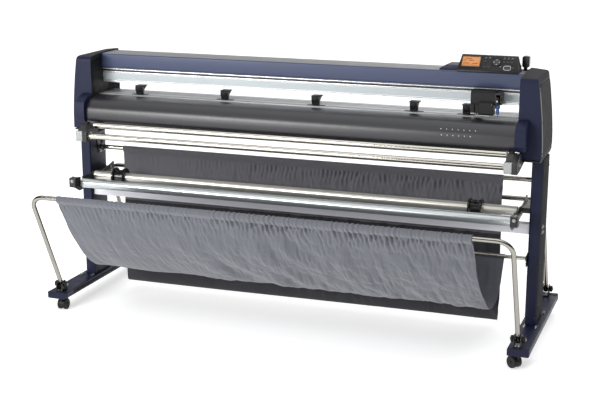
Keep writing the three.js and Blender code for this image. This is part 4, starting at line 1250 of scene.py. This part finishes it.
def tool_holder():
    x, y = TOOL
    clamp = Build().prism("Z", rounded(x - 7, x + 7, y - 14, y + 14, 3), 1009, 1039)
    clamp.lathe([(5, 1037), (5, 1040), (0, 1040)], (x, y, 0), "Z", 32)
    piece(clamp, "tool_clamp", "tool_holder", BLACK, 0.8, 3, "tool_holder")
    grip = [(4, 991), (8, 992), (9.5, 994), (9.5, 1005), (8, 1007), (5, 1010)]
    blade = Build().lathe(grip, (x, y, 0), "Z", 20)
    blade.lathe([(3.4, 968), (5.8, 969), (6.4, 972), (6.4, 987), (4.5, 992)], (x, y, 0), "Z", 32)
    piece(blade, "tool_blade_body", "tool_holder", BLUE, 0.4, 2)
    metal = Build().lathe([(0, 960), (1.2, 960), (3.2, 963), (3.2, 969)], (x, y, 0), "Z", 32)
    metal.lathe([(4.5, 0), (4.5, 5), (3.6, 6)], (x, y - 13.5, 1024), (0, -1, 0), 20)
    piece(metal, "tool_blade_holder", "tool_holder", BOLT, 0.2, 1)


def set_lever():
    """Lever in its slot in the beam, with a rounded grip on top."""
    x, y, z = LEVER
    neck = Build().prism("X", rounded(y - 8, y + 8, z - 10, z + 47, 7), x - 7, x + 7)
    neck.prism("Y", rounded(x - 13, x + 17, z + 41, z + 88, 9, 7), y - 15, y + 15)
    neck.lathe([(3, -7), (3, 17)], (x, y, z), "X", 16)
    piece(neck, "set_lever_grip", "set_lever", BLACK_GLOSS, 3.0, 4, "set_lever")
    collar = Build().box((x - 15, x + 15), (y - 34, y + 14), (1127.6, 1129.4))
    piece(collar, "set_lever_collar", "root", BLACK, 0.6, 2)


def face_point(u, v, w):
    """A point on the control panel's sloping face: u along X, v up the slope, w out of it."""
    (y0, z0), (y1, z1) = PANEL["foot"], PANEL["head"]
    tilt = math.atan2(z1 - z0, y1 - y0)
    y = (y0 + y1) / 2 + v * math.cos(tilt) - w * math.sin(tilt)
    z = (z0 + z1) / 2 + v * math.sin(tilt) + w * math.cos(tilt)
    return Vector((PANEL["x"] + u, y, z))


def on_face(build, outline, low, high):
    return build.prism("Z", outline, low, high, warp=face_point)


def control_panel():
    keep("control_panel", PANEL_SKIN, 1.2, 2)
    housing = bpy.data.objects["control_panel"].data
    housing.materials.append(NAVY_SATIN)
    repaint(housing, 1, lambda face: face.center.x < PANEL["plinth_end"] * MM)
    keep("display", SCREEN, 0.2, 1)
    bezel = Build()
    for outline in (rounded(-112, -32, 26, 30, 1.5), rounded(-112, -32, -24, -20, 1.5),
                    rounded(-112, -108.5, -22, 28, 1.5), rounded(-35.5, -32, -22, 28, 1.5)):
        on_face(bezel, outline, 0, 2.6)
    piece(bezel, "display_bezel", "root", BLACK_GLOSS, 0.4, 2)
    ink = Build()
    for u0, u1, v in ((-96, -70, 14), (-104, -92, 6), (-84, -60, 6), (-104, -78, -8),
                      (-66, -44, -8)):
        on_face(ink, rounded(u0, u1, v, v + 3, 1), 1.9, 2.15)
    on_face(ink, rounded(-104, -42, -15, -14, 0.4), 1.9, 2.15)
    piece(ink, "display_bars", "root", LCD_INK)
    keys = Build()
    for u, v in ((-14, 20), (2, 20), (62, 20), (78, 20), (94, 20), (-14, 6), (62, 6), (78, 6),
                 (94, 6), (-14, -20), (2, -20), (50, -21), (102, -21)):
        on_face(keys, rounded(u - 5.5, u + 5.5, v - 3.6, v + 3.6, 2.4), -0.5, 1.6)
    piece(keys, "panel_keys", "root", BLACK_GLOSS, 0.5, 2)
    ring = Build()
    outer = even_ring(rounded(63.5, 92.5, -30.5, -11.5, 8, 6), 60)
    ring.tube([face_point(u, v, 0.6) for u, v in outer], 1.3, 10)
    for u, v in ((-14, 26.4), (2, 26.4), (62, 26.4), (78, 26.4), (94, 26.4), (50, -14.5)):
        on_face(ring, rounded(u - 3.5, u + 3.5, v - 0.5, v + 0.5, 0.4), -0.3, 0.5)
    piece(ring, "panel_marks", "root", PALE)
    enter = Build()
    on_face(enter, rounded(66.3, 89.7, -27.7, -14.3, 5.5, 6), -3, 2)
    piece(enter, "enter_key_cap", "enter_key", BLACK_GLOSS, 0.8, 3, "enter_key")
    arrows = Build()
    on_face(arrows, rounded(16.3, 47.7, -11.7, 19.7, 11, 7), -3, 1.7)
    piece(arrows, "arrow_key_cap", "arrow_key", BLACK_GLOSS, 0.9, 3, "arrow_key")
    heads = Build()
    middle_u, middle_v = 32, 4
    for k in range(4):
        t = math.pi / 2 * k
        tip = []
        for a in (0, 130, 230):
            b = math.radians(a)
            u, v = 11 + 3 * math.cos(b), 3 * math.sin(b)
            tip.append((middle_u + u * math.cos(t) - v * math.sin(t),
                        middle_v + u * math.sin(t) + v * math.cos(t)))
        on_face(heads, tip, 1.5, 1.95)
    piece(heads, "arrow_key_marks", "arrow_key", PALE)


# ---- room --------------------------------------------------------------------------------------


def look_at(obj, location, target):
    obj.location = location
    obj.rotation_mode = "QUATERNION"
    away = Vector(target) - Vector(location)
    obj.rotation_quaternion = away.to_track_quat("-Z", "Y")


LENS = 75.07
SENSOR = 36
VIEW_AZIMUTH, VIEW_ELEVATION = 20.16, 14.10
VIEW_TARGET = Vector((0.0022, 0, 0.5349))
VIEW_DISTANCE = 5.336


def camera():
    data = bpy.data.cameras.new("camera")
    data.lens = LENS
    data.sensor_width = SENSOR
    data.clip_end = 200
    azimuth, elevation = math.radians(VIEW_AZIMUTH), math.radians(VIEW_ELEVATION)
    back = Vector((math.sin(azimuth) * math.cos(elevation),
                   -math.cos(azimuth) * math.cos(elevation), math.sin(elevation)))
    obj = place("camera", data)
    look_at(obj, VIEW_TARGET + back * VIEW_DISTANCE, VIEW_TARGET)
    bpy.context.scene.camera = obj


# Each softbox's location, target, width and height in metres, and power in watts.
SOFTBOXES = {
    "key": ((-2.4, -4.9, 2.2), (0, 0, 0.8), 2.4, 1.6, 200),
    "strip": ((0, -2.6, 3.4), (0, 0, 0.8), 5.0, 0.9, 15),
    "rim": ((0.5, 3.8, 2.8), (0, 0, 0.9), 3.0, 1.6, 10),
}


def softbox(name, location, target, width, height, power):
    data = bpy.data.lights.new(name, "AREA")
    data.shape = "RECTANGLE"
    data.size, data.size_y = width, height
    data.energy = power
    look_at(place(name, data), location, target)


FLOOR_HALF = 60
FLOOR_GREY = 0.88
FLOOR_GLOW = 0.55


def studio():
    """White floor under a sky that is brighter overhead and behind the machine than in front."""
    world = bpy.data.worlds.new("studio")
    bpy.context.scene.world = world
    world.use_nodes = True
    tree = world.node_tree
    direction = add_node(tree, "TexCoord", {}).outputs["Generated"]
    split = add_node(tree, "SeparateXYZ", {0: direction})
    overhead = spread(tree, split.outputs["Z"], 0.06, 1.7, 0.6, 1.0)
    behind = spread(tree, split.outputs["Y"], 0.06, 0.9, 0.4, 0.95)
    brighter = add_node(tree, "Math", {0: overhead, 1: behind}, operation="MAXIMUM").outputs[0]
    set_inputs(tree, tree.nodes["Background"], {"Color": (1, 1, 1, 1), "Strength": brighter})
    bpy.context.scene.view_settings.view_transform = "Standard"

    mesh = bpy.data.meshes.new("floor")
    near, far = -FLOOR_HALF, FLOOR_HALF
    corners = [(near, near, 0), (far, near, 0), (far, far, 0), (near, far, 0)]
    mesh.from_pydata(corners, [], [(0, 1, 2, 3)])
    floor = place("floor", mesh)
    material, tree, shader = new_material("floor", "")
    set_inputs(tree, shader, {
        "Base Color": (FLOOR_GREY, FLOOR_GREY, FLOOR_GREY, 1),
        "Roughness": 0.9,
        "Specular IOR Level": 0.1,
        "Emission Color": (1, 1, 1, 1),
        "Emission Strength": FLOOR_GLOW,
    })
    mesh.materials.append(material)
    for name, setup in SOFTBOXES.items():
        softbox(name, *setup)


# ---- the whole machine -------------------------------------------------------------------------

for make in (camera, studio, feet, posts, crossbeam, casters, basket_brackets):
    make()
for end_name in ENDS:
    basket_frame(end_name)
fixed_rod("front", FRONT_ROD, 8, SADDLE, ((8, -24), (44, -24)))
fixed_rod("rear", REAR_ROD, 9.5, YOKE, ((-14, -17), (18, -17)))
for make in (front_cloth, rear_cloth, pipes, flanges, pipe_brackets, guide_rods, side_frames,
             side_covers, top_beam, rail, platen, front_cover, rear_parts, drive_shaft,
             push_rollers, carriage, tool_holder, set_lever, control_panel):
    make()

bpy.context.view_layer.update()
